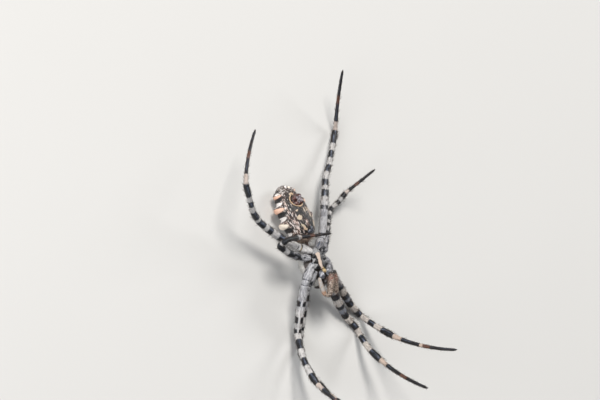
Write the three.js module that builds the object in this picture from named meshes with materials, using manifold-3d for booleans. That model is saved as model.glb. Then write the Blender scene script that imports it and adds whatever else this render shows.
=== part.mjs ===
// Female lobed argiope (Argiope lobata), life size, lying belly up on its back.
// Millimetres, +Z up, the floor at z = 0. Head towards -Y, tail towards +Y,
// the spider's own left side towards -X.
import * as THREE from 'three';
import Module from 'manifold-3d';
import { mergeVertices } from 'three/addons/utils/BufferGeometryUtils.js';

const wasm = await Module();
wasm.setup();

// ---------------------------------------------------------------- driving sizes
const GAP = 0.26;                // clear space between two neighbouring plates
const BODY_PITCH = 10.2;         // degrees: the head end is higher off the floor
const BODY_LIFT = 4.45;          // height of the waist above the floor
const LEG_SIDES = 10;
const BODY_SIDES = 22;
const BEND = 0.8;                // length of leg used up by a bend, each side of a joint
const SOCKET = 0.1;              // clear space round an eye

// Length of each leg's joints: femur, patella, tibia, metatarsus with tarsus.
const LEG_LENGTHS = {
  1: [11.6, 3.9, 9.0, 14.4],
  2: [11.0, 3.8, 8.8, 14.1],
  3: [7.8, 2.5, 4.3, 7.5],
  4: [12.7, 3.6, 8.2, 13.4],
};
const LEG_STOUTNESS = { 1: 1.0, 2: 1.0, 3: 0.82, 4: 0.92 };

// Radius of a leg against how far along it is: the whole number counts the
// segments (0 coxa, 1 femur, 2 patella, 3 tibia, 4 metatarsus and tarsus).
const LEG_GIRTH = [
  [0.0, 0.62],
  [0.35, 0.86],
  [0.75, 1.0],
  [0.95, 0.88],
  [1.06, 0.8],
  [1.25, 0.9],
  [1.65, 0.86],
  [1.9, 0.73],
  [2.1, 0.72],
  [2.7, 0.68],
  [3.0, 0.62],
  [3.2, 0.6],
  [3.5, 0.6],
  [3.85, 0.7],
  [3.98, 0.6],
  [4.05, 0.49],
  [4.3, 0.44],
  [4.75, 0.41],
  [4.94, 0.36],
  [5.0, 0.22],
];

// Pose of each leg: where the coxa starts and where the femur starts (body
// frame), then for each segment its heading (degrees from straight ahead
// towards the leg's own side) and the height of its far end above the floor.
// bow is how far the middle of a numbered segment curves off the straight line,
// level with the floor.
const LEGS = {
  L1: {
    coxa: [-1.75, -5.1, 0.95],
    femur: [-3.32, -7.05, -0.91],
    pose: [[12.4, 0.38], [36.1, 2.32], [9.8, 7.72], [22.4, 20.49]],
    bow: { 1: [-0.24, 0.1], 3: [-0.37, -0.07] },
  },
  L2: {
    coxa: [-1.9, -3.75, 1],
    femur: [-5.09, -5.99, 1.16],
    pose: [[10.1, 2], [35.2, 3.79], [24.6, 8.94], [28.1, 20.79]],
    bow: { 1: [-0.15, 0.05], 3: [-0.49, -0.02] },
  },
  L3: {
    coxa: [-1.75, -2.4, 1],
    femur: [-3.51, -1.82, 0.84],
    pose: [[123.6, 7.21], [-133.3, 9.37], [-79.9, 8.03], [-78, 9.27]],
    bow: { 1: [-0.22, -0.15] },
  },
  L4: {
    coxa: [-0.8, -1.35, 1.05],
    femur: [-2.97, 0.1, 0.83],
    pose: [[131.2, 6.41], [136.5, 8.2], [151, 12.29], [-129.9, 8.29]],
    bow: { 1: [-0.36, -0.19], 4: [-0.5, 0.21] },
  },
  R1: {
    coxa: [1.75, -5.1, 0.95],
    femur: [2.32, -7.32, -0.91],
    pose: [[30, 0.75], [35.3, 0.38], [-15, 6.45], [-22.9, 19.44]],
    bow: { 1: [-0.34, 0], 3: [-0.58, -0.12], 4: [-0.42, -0.28] },
  },
  R2: {
    coxa: [1.9, -3.75, 1],
    femur: [3.66, -6, -1.31],
    pose: [[33.4, 1.1], [40.1, 0.35], [5.5, 7.52], [29.9, 20.63]],
    bow: { 3: [-0.15, -0.1], 4: [-0.36, -0.49] },
  },
  R3: {
    coxa: [1.75, -2.4, 1],
    femur: [3.6, -1.9, 0],
    pose: [[134, 2.55], [117, 1.7], [115, 2.7], [126, 8.2]],
    bow: { 3: [0.12, -0.2] },
  },
  R4: {
    coxa: [0.8, -1.35, 1.05],
    femur: [3, 0, 0.8],
    pose: [[147, 3.8], [118, 2.5], [136, 1.05], [181, 8]],
    bow: { 1: [0.25, -0.08], 4: [-0.24, 0.09] },
  },
};

// Cross-sections from head to tail: y, half width, belly z, back z, widest z.
const CARAPACE = [
  [-8.55, 0.55, -0.95, -1.6, -1.2],
  [-8.42, 1.1, -0.6, -1.95, -1.1],
  [-8.0, 1.5, -0.25, -2.2, -1.0],
  [-7.2, 1.8, 0.2, -2.4, -0.8],
  [-6.4, 2.15, 0.6, -2.45, -0.6],
  [-5.5, 2.95, 0.75, -2.6, -0.5],
  [-4.2, 3.45, 0.75, -2.9, -0.5],
  [-2.9, 3.35, 0.75, -2.85, -0.5],
  [-1.6, 2.6, 0.72, -2.4, -0.5],
  [-0.7, 1.5, 0.5, -1.6, -0.5],
  [-0.3, 0.6, 0.1, -0.9, -0.4],
];
const STERNUM = [
  [-5.25, 0.75, 1.55, 1.05, 1.2],
  [-4.9, 1.5, 1.62, 1.03, 1.2],
  [-4.1, 1.85, 1.68, 1.01, 1.2],
  [-3.0, 1.75, 1.7, 1.01, 1.2],
  [-1.9, 1.15, 1.66, 1.01, 1.2],
  [-1.3, 0.6, 1.6, 1.02, 1.2],
  [-0.95, 0.3, 1.5, 1.05, 1.2],
];
const ABDOMEN = [
  [0.85, 0.7, 0.55, -0.85, -0.2],
  [1.25, 1.7, 1.35, -1.6, -0.2],
  [2.1, 2.6, 2.2, -2.2, -0.3],
  [3.4, 3.15, 2.62, -2.55, -0.4],
  [5.0, 3.3, 2.72, -2.78, -0.5],
  [6.8, 3.25, 2.6, -2.88, -0.5],
  [8.4, 3.05, 2.2, -2.92, -0.5],
  [9.7, 2.6, 1.65, -2.86, -0.5],
  [10.9, 2.05, 1.05, -2.6, -0.5],
  [11.8, 1.5, 0.5, -2.1, -0.6],
  [12.35, 0.7, -0.2, -1.45, -0.8],
];
// Side lobes of the abdomen, ridges from flank to back: centre, half sizes, turn.
const LOBES = [
  { at: [1.95, 2.2, -0.8], size: [0.9, 0.85, 1.0], turn: -12 },
  { at: [3.08, 5.2, -0.5], size: [1.0, 0.95, 1.4], turn: 6 },
  { at: [2.81, 8.3, -0.5], size: [0.95, 0.95, 1.3], turn: 10 },
  { at: [1.85, 10.85, -0.6], size: [0.8, 0.8, 1.0], turn: 20 },
];
const TAIL_KNOB = { at: [0.5, 12.15, -0.2], size: [0.42, 0.45, 0.42] };
const EYES = {
  eye_front_middle: { at: [0.32, -8.5, -1.0], radius: 0.2 },
  eye_back_middle: { at: [0.4, -8.3, -1.72], radius: 0.2 },
  eye_front_side: { at: [1.14, -8.27, -0.92], radius: 0.16 },
  eye_back_side: { at: [1.36, -8.05, -1.3], radius: 0.16 },
};

// ---------------------------------------------------------------- frames
const bodyToWorld = new THREE.Matrix4()
  .makeRotationX(THREE.MathUtils.degToRad(-BODY_PITCH))
  .setPosition(0, 0, BODY_LIFT);

const inBody = ([x, y, z]) => new THREE.Vector3(x, y, z).applyMatrix4(bodyToWorld);

// ---------------------------------------------------------------- solids
function closedGeometry(rings) {
  const positions = [];
  const index = [];
  const sides = rings[0].length;
  for (const ring of rings) {
    for (const p of ring) positions.push(p.x, p.y, p.z);
  }
  for (let i = 0; i + 1 < rings.length; i++) {
    for (let j = 0; j < sides; j++) {
      const a = i * sides + j;
      const b = i * sides + (j + 1) % sides;
      index.push(a, b, a + sides);
      index.push(b, b + sides, a + sides);
    }
  }
  const first = positions.length / 3;
  for (const ring of [rings[0], rings[rings.length - 1]]) {
    const centre = new THREE.Vector3();
    for (const p of ring) centre.add(p);
    centre.divideScalar(sides);
    positions.push(centre.x, centre.y, centre.z);
  }
  const last = (rings.length - 1) * sides;
  for (let j = 0; j < sides; j++) {
    const k = (j + 1) % sides;
    index.push(first, k, j);
    index.push(first + 1, last + j, last + k);
  }
  const geometry = new THREE.BufferGeometry();
  geometry.setAttribute('position', new THREE.Float32BufferAttribute(positions, 3));
  geometry.setIndex(index);
  return geometry;
}

function toSolid(geometry) {
  const bare = geometry.clone();
  bare.deleteAttribute('normal');
  bare.deleteAttribute('uv');
  const welded = mergeVertices(bare, 1e-4);
  return new wasm.Manifold(new wasm.Mesh({
    numProp: 3,
    vertProperties: new Float32Array(welded.attributes.position.array),
    triVerts: new Uint32Array(welded.index.array),
  }));
}

function toGeometry(solid) {
  const mesh = solid.getMesh();
  const positions = new Float32Array(mesh.numVert * 3);
  for (let i = 0; i < mesh.numVert; i++) {
    for (let k = 0; k < 3; k++) {
      positions[i * 3 + k] = mesh.vertProperties[i * mesh.numProp + k];
    }
  }
  const geometry = new THREE.BufferGeometry();
  geometry.setAttribute('position', new THREE.BufferAttribute(positions, 3));
  geometry.setIndex(new THREE.BufferAttribute(new Uint32Array(mesh.triVerts), 1));
  geometry.computeVertexNormals();
  return geometry;
}

function largest(solid) {
  const pieces = solid.decompose();
  return pieces.reduce((a, b) => (a.volume() >= b.volume() ? a : b));
}

function without(solid, cutters) {
  return largest(cutters.reduce((rest, cutter) => rest.subtract(cutter), solid));
}

// A round tube through centre points, each with its own radius.
function tube(stations, grow = 0, sides = LEG_SIDES) {
  const points = stations.map((station) => station.at.clone());
  const count = points.length;
  if (grow > 0) {
    const lead = points[1].clone().sub(points[0]).setLength(grow);
    const tail = points[count - 1].clone().sub(points[count - 2]).setLength(grow);
    points[0].sub(lead);
    points[count - 1].add(tail);
  }
  const side = new THREE.Vector3();
  let previous = null;
  const rings = points.map((point, i) => {
    const ahead = points[Math.min(i + 1, count - 1)].clone().sub(point);
    const behind = point.clone().sub(points[Math.max(i - 1, 0)]);
    const tangent = ahead.normalize().add(behind.normalize()).normalize();
    if (previous === null) {
      side.set(0, 0, 1).cross(tangent);
      if (side.length() < 0.1) side.set(1, 0, 0).cross(tangent);
    }
    side.addScaledVector(tangent, -side.dot(tangent)).normalize();
    previous = tangent;
    const up = tangent.clone().cross(side);
    const ring = [];
    for (let j = 0; j < sides; j++) {
      const angle = (2 * Math.PI * (j + 0.5)) / sides;
      const radius = stations[i].radius + grow;
      ring.push(point.clone()
        .addScaledVector(side, radius * Math.cos(angle))
        .addScaledVector(up, radius * Math.sin(angle)));
    }
    return ring;
  });
  return toSolid(closedGeometry(rings));
}

// A body plate through cross-sections; y runs from the head to the tail.
function plate(sections, grow = 0, sides = BODY_SIDES) {
  const last = sections.length - 1;
  const rings = sections.map(([y, width, belly, back, middle], i) => {
    const ring = [];
    let place = y;
    if (i === 0) place -= grow;
    if (i === last) place += grow;
    for (let j = 0; j < sides; j++) {
      const angle = (2 * Math.PI * j) / sides;
      const height = Math.sin(angle) > 0 ? belly - middle : middle - back;
      ring.push(inBody([
        -(width + grow) * Math.cos(angle),
        place,
        middle + (height + grow) * Math.sin(angle),
      ]));
    }
    return ring;
  });
  return toSolid(closedGeometry(rings));
}

// An egg shape in the body frame, turned about the body's vertical axis.
function egg({ at, size, turn = 0 }, side = 1, grow = 0, detail = 12) {
  const geometry = new THREE.SphereGeometry(1, detail, Math.round(detail * 0.66));
  geometry.scale(size[0] + grow, size[1] + grow, size[2] + grow);
  geometry.rotateZ(THREE.MathUtils.degToRad(turn * side));
  geometry.translate(at[0] * side, at[1], at[2]);
  geometry.applyMatrix4(bodyToWorld);
  return toSolid(geometry);
}

function bodyTube(points, radii, grow = 0, sides = LEG_SIDES) {
  return tube(points.map((p, i) => ({ at: inBody(p), radius: radii[i] })), grow, sides);
}

const floorBlock = toSolid(new THREE.BoxGeometry(200, 200, 20).translate(0, 0, -10));

// ---------------------------------------------------------------- legs
function girth(place, stoutness) {
  let k = 0;
  while (k + 2 < LEG_GIRTH.length && LEG_GIRTH[k + 1][0] < place) k++;
  const [from, r0] = LEG_GIRTH[k];
  const [to, r1] = LEG_GIRTH[k + 1];
  const t = THREE.MathUtils.clamp((place - from) / (to - from), 0, 1);
  return stoutness * THREE.MathUtils.lerp(r0, r1, t);
}

function legJoints(name) {
  const leg = LEGS[name];
  const side = name[0] === 'L' ? -1 : 1;
  const joints = [inBody(leg.coxa), inBody(leg.femur)];
  leg.pose.forEach(([heading, height], i) => {
    const from = joints[joints.length - 1];
    const rise = height - from.z;
    const reach = Math.sqrt(LEG_LENGTHS[name[1]][i] ** 2 - rise ** 2);
    const angle = THREE.MathUtils.degToRad(heading);
    joints.push(new THREE.Vector3(
      from.x + side * reach * Math.sin(angle),
      from.y - reach * Math.cos(angle),
      height,
    ));
  });
  return joints;
}

// Centre points of one leg, each with its radius and its place along the leg.
function legStations(name) {
  const joints = legJoints(name);
  const stout = LEG_STOUTNESS[name[1]];
  const stations = [];
  const add = (at, place) => {
    const segment = Math.min(Math.floor(place), 4);
    const t = place - segment;
    const [x, y] = LEGS[name].bow[segment] ?? [0, 0];
    at.x += 4 * t * (1 - t) * x;
    at.y += 4 * t * (1 - t) * y;
    stations.push({ at, place, radius: girth(place, stout) });
  };
  for (let i = 0; i + 1 < joints.length; i++) {
    const a = joints[i];
    const b = joints[i + 1];
    const length = a.distanceTo(b);
    const start = i === 0 ? 0 : BEND / length;
    const end = i + 2 === joints.length ? 1 : 1 - BEND / length;
    const steps = Math.max(1, Math.round((end - start) * length / 1.9));
    for (let k = 0; k <= steps; k++) {
      const t = THREE.MathUtils.lerp(start, end, k / steps);
      add(a.clone().lerp(b, t), i + t);
    }
    if (i + 2 < joints.length) {
      const c = joints[i + 2];
      const into = b.clone().addScaledVector(b.clone().sub(a).normalize(), -BEND);
      const out = b.clone().addScaledVector(c.clone().sub(b).normalize(), BEND);
      const before = 1 - BEND / length;
      const after = BEND / b.distanceTo(c);
      for (const t of [0.3, 0.5, 0.7]) {
        const at = into.clone().multiplyScalar((1 - t) ** 2)
          .addScaledVector(b, 2 * t * (1 - t))
          .addScaledVector(out, t ** 2);
        const place = t < 0.5
          ? THREE.MathUtils.lerp(i + before, i + 1, t * 2)
          : THREE.MathUtils.lerp(i + 1, i + 1 + after, t * 2 - 1);
        add(at, place);
      }
    }
  }
  return stations;
}

// The part of a leg between two places, trimmed by half a gap at each cut.
function legPart(stations, from, to, trimStart, trimEnd, grow = 0) {
  const inside = stations.filter((station) => station.place > from && station.place < to);
  const ends = [from, to].map((place, which) => {
    const k = stations.findIndex((station) => station.place >= place);
    const b = stations[k];
    const a = stations[Math.max(k - 1, 0)];
    const t = b.place > a.place ? (place - a.place) / (b.place - a.place) : 0;
    const trim = which === 0 ? trimStart : -trimEnd;
    const along = stations[Math.max(k, 1)].at.clone()
      .sub(stations[Math.max(k, 1) - 1].at).normalize();
    return {
      at: a.at.clone().lerp(b.at, t).addScaledVector(along, trim),
      radius: THREE.MathUtils.lerp(a.radius, b.radius, t),
    };
  });
  const kept = inside.filter((station) => station.at.distanceTo(ends[0].at) > 0.3
    && station.at.distanceTo(ends[1].at) > 0.3);
  return tube([ends[0], ...kept, ends[1]], grow);
}

// Places where one node of a leg ends and the next begins.
function legCuts(name) {
  const [femur, , tibia] = LEG_LENGTHS[name[1]];
  return {
    coxaStart: 0,
    femurStart: 1 + (BEND + 0.05) / femur,
    patellaStart: 2 - (BEND + 0.2) / femur,
    metatarsusStart: 4 - (BEND + 0.1) / tibia,
    tip: 5,
  };
}

const half = GAP / 2;
const legSolids = {};
for (const name of Object.keys(LEGS)) {
  const stations = legStations(name);
  const cuts = legCuts(name);
  const part = (from, to, a, b, grow) => legPart(stations, from, to, a, b, grow);
  legSolids[name] = {
    coxa: part(cuts.coxaStart, cuts.femurStart, half, half),
    coxaGrown: part(cuts.coxaStart, cuts.femurStart, half, half, GAP),
    femur: part(cuts.femurStart, cuts.patellaStart, half, half),
    tibia: part(cuts.patellaStart, cuts.metatarsusStart, half, half).subtract(floorBlock),
    metatarsus: part(cuts.metatarsusStart, cuts.tip, half, 0),
  };
}

// ---------------------------------------------------------------- mouthparts
const CHELICERA = { points: [[0.7, -7.75, -0.45], [0.7, -7.75, 0.9], [0.62, -7.6, 1.85]] };
const ENDITE = { at: [0.9, -6.3, 1.34], size: [0.68, 0.88, 0.56], turn: 10 };
const LABIUM = { at: [0, -5.75, 1.42], size: [0.5, 0.45, 0.4] };
const PALPS = {
  L: {
    upper: [[-1.55, -6.75, 1.2], [-1.95, -7.2, 1.25], [-1.95, -8.6, 1.1], [-1.88, -9.7, 0.98]],
    lower: [[-1.62, -10.15, 1.2], [-1.2, -10.3, 1.5], [-0.85, -9.3, 2.0], [-0.35, -7.7, 2.65],
      [0.1, -6.2, 3.2]],
  },
  R: {
    upper: [[1.55, -6.75, 1.2], [1.95, -7.2, 1.2], [1.85, -8.6, 0.85], [1.7, -9.65, 0.55]],
    lower: [[1.45, -10.1, 0.62], [1.1, -10.3, 0.95], [1.05, -9.4, 1.4], [1.0, -7.9, 2.3],
      [0.95, -6.3, 3.25]],
  },
};
const PALP_UPPER_RADII = [0.34, 0.42, 0.46, 0.42];
const PALP_LOWER_RADII = [0.4, 0.5, 0.58, 0.58, 0.32];

function chelicera(side, grow = 0) {
  const points = CHELICERA.points.map(([x, y, z]) => [x * side, y, z]);
  return bodyTube(points, [0.56, 0.62, 0.42], grow, 12);
}

// ---------------------------------------------------------------- assembly
const solids = new Map();
const allCoxae = Object.values(legSolids).map((leg) => leg.coxaGrown);

// Each coxa gives way to those before it, so neighbours meet face to face.
const coxaDone = [];
for (const name of ['L1', 'L2', 'L3', 'L4', 'R1', 'R2', 'R3', 'R4']) {
  const before = coxaDone.filter((other) => other[0] === name[0]);
  const cutters = before.map((other) => legSolids[other].coxaGrown);
  legSolids[name].coxaCut = without(legSolids[name].coxa, cutters);
  coxaDone.push(name);
}

const sternum = without(plate(STERNUM), allCoxae);
const labium = egg(LABIUM);
const labiumGrown = egg(LABIUM, 1, 0.15);
const sternumGrown = plate(STERNUM, 0.2);
const endites = {};
for (const side of [-1, 1]) {
  endites[side] = without(egg(ENDITE, side, 0, 14), [
    labiumGrown,
    sternumGrown,
    legSolids[side < 0 ? 'L1' : 'R1'].coxaGrown,
    chelicera(side, 0.15),
  ]);
}

const pedicel = bodyTube([[0, -0.28, -0.3], [0, 0.4, -0.22], [0, 0.9, -0.15]],
  [0.5, 0.42, 0.5]);
const pedicelGrown = bodyTube([[0, -0.28, -0.3], [0, 0.4, -0.22], [0, 0.9, -0.15]],
  [0.5, 0.42, 0.5], 0.18);

const eyeSolids = {};
const sockets = [];
for (const [name, eye] of Object.entries(EYES)) {
  for (const side of [-1, 1]) {
    const shape = { at: eye.at, size: [eye.radius, eye.radius, eye.radius] };
    eyeSolids[`${name}_${side < 0 ? 'L' : 'R'}`] = egg(shape, side, 0, 10);
    sockets.push(egg(shape, side, SOCKET, 10));
  }
}

const carapace = without(plate(CARAPACE), [
  ...allCoxae,
  sternumGrown,
  labiumGrown,
  egg(ENDITE, -1, 0.15, 14),
  egg(ENDITE, 1, 0.15, 14),
  chelicera(-1, 0.15),
  chelicera(1, 0.15),
  pedicelGrown,
  ...sockets,
]);

let abdomen = plate(ABDOMEN);
for (const side of [-1, 1]) {
  for (const lobe of LOBES) abdomen = abdomen.add(egg(lobe, side, 0, 14));
  abdomen = abdomen.add(egg(TAIL_KNOB, side, 0, 10));
}

// Spinnerets: a ring-shaped base with six short teats that lean together.
const SPINNERET_AT = [0, 8.85, 1.55];
let spinnerets = bodyTube([SPINNERET_AT, [0, 8.85, 2.35], [0, 8.85, 2.5]],
  [1.25, 1.2, 1.0], 0, 16);
for (let i = 0; i < 6; i++) {
  const angle = (Math.PI * (i + 0.5)) / 3;
  const reach = i % 3 === 1 ? 0.55 : 0.68;
  const x = reach * Math.cos(angle);
  const y = 8.85 + reach * Math.sin(angle);
  spinnerets = spinnerets.add(bodyTube(
    [[x, y, 2.1], [x * 0.85, 8.85 + (y - 8.85) * 0.85, 2.75],
      [x * 0.6, 8.85 + (y - 8.85) * 0.6, 3.05]],
    [0.4, 0.36, 0.16], 0, 8,
  ));
}
const spinneretSocket = bodyTube([SPINNERET_AT, [0, 8.85, 4]], [1.25, 1.25], 0.15, 16);

// Epigynum: a dark plate on the belly with a short scape that points back.
const EPIGYNUM = { at: [0, 2.35, 2.38], size: [0.75, 0.55, 0.42] };
const SCAPE = { at: [0, 2.85, 2.72], size: [0.32, 0.5, 0.22] };
const epigynum = egg(EPIGYNUM).add(egg(SCAPE, 1, 0, 10));

abdomen = without(abdomen, [
  pedicelGrown,
  spinneretSocket,
  egg(EPIGYNUM, 1, 0.15),
  egg(SCAPE, 1, 0.15, 10),
  floorBlock,
]);

const COLOURS = {
  silver_hair: '#b9b6ae',
  banded_leg: '#8e8c88',
  belly_mottle: '#6e6258',
  dark_plate: '#1d1c20',
  palp_cream: '#cdbfa2',
  spinneret_brown: '#4a2a22',
  eye_black: '#0b0b0d',
};

function put(name, solid, material) {
  solids.set(name, { solid, material });
}

put('carapace', carapace, 'silver_hair');
put('sternum', sternum, 'dark_plate');
put('labium', labium, 'dark_plate');
put('endite_L', endites[-1], 'dark_plate');
put('endite_R', endites[1], 'dark_plate');
for (const which of ['L', 'R']) {
  const side = which === 'L' ? -1 : 1;
  const leg = legSolids[`${which}1`];
  put(`chelicera_${which}`, without(chelicera(side), [leg.coxaGrown]), 'dark_plate');
  const upper = without(bodyTube(PALPS[which].upper, PALP_UPPER_RADII), [
    leg.coxaGrown,
    egg(ENDITE, side, 0.15, 14),
    chelicera(side, 0.12),
  ]);
  put(`palp_${which}_upper`, upper, 'palp_cream');
  const upperGrown = bodyTube(PALPS[which].upper, PALP_UPPER_RADII, 0.15);
  const lower = bodyTube(PALPS[which].lower, PALP_LOWER_RADII);
  put(`palp_${which}_lower`, without(lower, [upperGrown, chelicera(side, 0.12)]), 'palp_cream');
}
put('pedicel', pedicel, 'dark_plate');
put('abdomen', abdomen, 'belly_mottle');
put('spinnerets', spinnerets, 'spinneret_brown');
put('epigynum', epigynum, 'dark_plate');
for (const [name, solid] of Object.entries(eyeSolids)) put(name, solid, 'eye_black');
for (const name of Object.keys(LEGS)) {
  const leg = legSolids[name];
  put(`leg_${name}_coxa`, leg.coxaCut, 'silver_hair');
  put(`leg_${name}_femur`, leg.femur, 'banded_leg');
  put(`leg_${name}_tibia`, leg.tibia, 'banded_leg');
  put(`leg_${name}_metatarsus`, leg.metatarsus, 'banded_leg');
}

// ---------------------------------------------------------------- group
const materials = {};
for (const [name, colour] of Object.entries(COLOURS)) {
  materials[name] = new THREE.MeshStandardMaterial({ name, color: colour, roughness: 0.6 });
}

const spider = new THREE.Group();
spider.name = 'lobed_argiope';
for (const [name, { solid, material }] of solids) {
  const mesh = new THREE.Mesh(toGeometry(solid), materials[material]);
  mesh.name = name;
  spider.add(mesh);
}

// The origin is the middle of the footprint on the floor.
const box = new THREE.Box3().setFromObject(spider);
const middle = box.getCenter(new THREE.Vector3());
for (const mesh of spider.children) mesh.geometry.translate(-middle.x, -middle.y, -box.min.z);

export default spider;
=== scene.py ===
import math

import bpy
import numpy as np
from mathutils import Matrix, Vector


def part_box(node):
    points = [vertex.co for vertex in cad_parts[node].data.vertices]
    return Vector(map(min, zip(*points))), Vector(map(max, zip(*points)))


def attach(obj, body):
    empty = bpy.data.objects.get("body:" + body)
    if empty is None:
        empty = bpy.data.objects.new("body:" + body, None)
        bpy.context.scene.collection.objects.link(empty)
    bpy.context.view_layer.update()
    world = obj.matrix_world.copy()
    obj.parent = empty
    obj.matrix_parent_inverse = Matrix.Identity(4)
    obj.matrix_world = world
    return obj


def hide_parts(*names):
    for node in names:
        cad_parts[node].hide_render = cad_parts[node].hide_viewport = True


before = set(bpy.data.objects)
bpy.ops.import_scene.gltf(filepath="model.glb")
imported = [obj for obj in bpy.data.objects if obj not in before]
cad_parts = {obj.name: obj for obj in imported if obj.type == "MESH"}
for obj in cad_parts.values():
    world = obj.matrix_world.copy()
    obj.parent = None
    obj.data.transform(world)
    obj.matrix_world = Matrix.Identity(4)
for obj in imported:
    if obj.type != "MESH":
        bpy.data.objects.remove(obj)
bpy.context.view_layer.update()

# A female lobed argiope, life size, lying belly up. Sizes are in millimetres, and
# metres once they are times MM. The body frame has its origin at the waist, +X to
# the spider's right, +Y to the tail, +Z out of the belly.

# ------------------------------------------------------------------ driving sizes
MM = 0.001
BODY_PITCH = math.radians(10.2)
BODY_LIFT = 4.45
BEND = 0.8                     # how far before a joint a leg starts to curve
PATH_STEP = 0.14
TROCHANTER, TARSUS = 0.95, 2.6
COAT_DEPTH = 0.05
FLOOR_CLEAR = 0.00001          # metres: nothing of the spider reaches lower
HAIR_SHARE = 1.0
SEED = 7

LEG_LENGTHS = {
    "1": (11.6, 3.9, 9.0, 14.4),
    "2": (11.0, 3.8, 8.8, 14.1),
    "3": (7.8, 2.5, 4.3, 7.5),
    "4": (12.7, 3.6, 8.2, 13.4),
}
LEG_STOUTNESS = {"1": 1.0, "2": 1.0, "3": 0.82, "4": 0.92}

# Radius against place: the whole number counts the segments, 0 coxa, 1 femur,
# 2 patella, 3 tibia, 4 metatarsus and tarsus.
LEG_GIRTH = (
    (0.0, 0.62), (0.35, 0.86), (0.75, 1.0), (0.95, 0.88), (1.06, 0.8), (1.25, 0.9),
    (1.65, 0.86), (1.9, 0.73), (2.1, 0.72), (2.7, 0.68), (3.0, 0.62), (3.2, 0.6),
    (3.5, 0.6), (3.85, 0.7), (3.98, 0.6), (4.05, 0.49), (4.3, 0.42), (4.75, 0.37),
    (4.94, 0.32), (5.0, 0.2),
)
# How deep the skin creases at each joint, at the trochanter and before the tarsus.
CREASE_DEPTHS = (0.16, 0.16, 0.13, 0.14, 0.18, 0.08)
# Each leg: coxa start and femur start in the body frame, then for each segment its
# heading (degrees from straight ahead towards its own side) and its end's height, then
# how far the middle of a numbered segment curves off the straight line, x and y.
LEGS = {
    "L1": ((-1.75, -5.1, 0.95), (-3.32, -7.05, -0.91),
           ((12.4, 0.38), (36.1, 2.32), (9.8, 7.72), (22.4, 20.49)),
           {1: (-0.24, 0.1), 3: (-0.37, -0.07)}),
    "L2": ((-1.9, -3.75, 1), (-5.09, -5.99, 1.16),
           ((10.1, 2), (35.2, 3.79), (24.6, 8.94), (28.1, 20.79)),
           {1: (-0.15, 0.05), 3: (-0.49, -0.02)}),
    "R1": ((1.75, -5.1, 0.95), (2.32, -7.32, -0.91),
           ((30, 0.75), (35.3, 0.38), (-15, 6.45), (-22.9, 19.44)),
           {1: (-0.34, 0), 3: (-0.58, -0.12), 4: (-0.42, -0.28)}),
    "R2": ((1.9, -3.75, 1), (3.66, -6, -1.31),
           ((33.4, 1.1), (40.1, 0.35), (5.5, 7.52), (29.9, 20.63)),
           {3: (-0.15, -0.1), 4: (-0.36, -0.49)}),
    "L3": ((-1.75, -2.4, 1), (-3.51, -1.82, 0.84),
           ((123.6, 7.21), (-133.3, 9.37), (-79.9, 8.03), (-78, 9.27)),
           {1: (-0.22, -0.15)}),
    "L4": ((-0.8, -1.35, 1.05), (-2.97, 0.1, 0.83),
           ((131.2, 6.41), (136.5, 8.2), (151, 12.29), (-129.9, 8.29)),
           {1: (-0.36, -0.19), 4: (-0.5, 0.21)}),
    "R3": ((1.75, -2.4, 1), (3.6, -1.9, 0),
           ((134, 2.55), (117, 1.7), (115, 2.7), (126, 8.2)),
           {3: (0.12, -0.2)}),
    "R4": ((0.8, -1.35, 1.05), (3, 0, 0.8),
           ((147, 3.8), (118, 2.5), (136, 1.05), (181, 8)),
           {1: (0.25, -0.08), 4: (-0.24, 0.09)}),
}
EYES = {
    "eye_front_middle": ((0.32, -8.5, -1.0), 0.2),
    "eye_back_middle": ((0.4, -8.3, -1.72), 0.2),
    "eye_front_side": ((1.14, -8.27, -0.92), 0.16),
    "eye_back_side": ((1.36, -8.05, -1.3), 0.16),
}
# Cross-sections from head to tail: y, half width, belly z, back z, widest z.
CARAPACE = (
    (-8.66, 0.02, -1.2, -1.24, -1.22),
    (-8.62, 0.35, -1.02, -1.45, -1.22),
    (-8.5, 0.9, -0.75, -1.8, -1.15),
    (-8.3, 1.25, -0.5, -2.05, -1.1),
    (-8.0, 1.48, -0.25, -2.2, -1.0),
    (-7.2, 1.78, 0.2, -2.38, -0.8),
    (-6.4, 2.12, 0.58, -2.42, -0.6),
    (-5.5, 2.9, 0.72, -2.58, -0.5),
    (-4.2, 3.4, 0.72, -2.86, -0.5),
    (-2.9, 3.3, 0.72, -2.82, -0.5),
    (-1.6, 2.55, 0.7, -2.36, -0.5),
    (-0.7, 1.48, 0.48, -1.58, -0.5),
    (-0.34, 0.7, 0.12, -0.98, -0.45),
    (-0.24, 0.02, -0.4, -0.44, -0.42),
)
STERNUM = (
    (-5.28, 0.02, 1.42, 1.3, 1.36),
    (-5.2, 0.7, 1.54, 1.05, 1.3),
    (-4.9, 1.48, 1.62, 1.0, 1.3),
    (-4.1, 1.82, 1.68, 1.0, 1.3),
    (-3.0, 1.72, 1.7, 1.0, 1.3),
    (-1.9, 1.13, 1.67, 1.0, 1.3),
    (-1.3, 0.58, 1.62, 1.0, 1.3),
    (-0.95, 0.28, 1.52, 1.05, 1.3),
    (-0.85, 0.02, 1.4, 1.3, 1.35),
)
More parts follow.
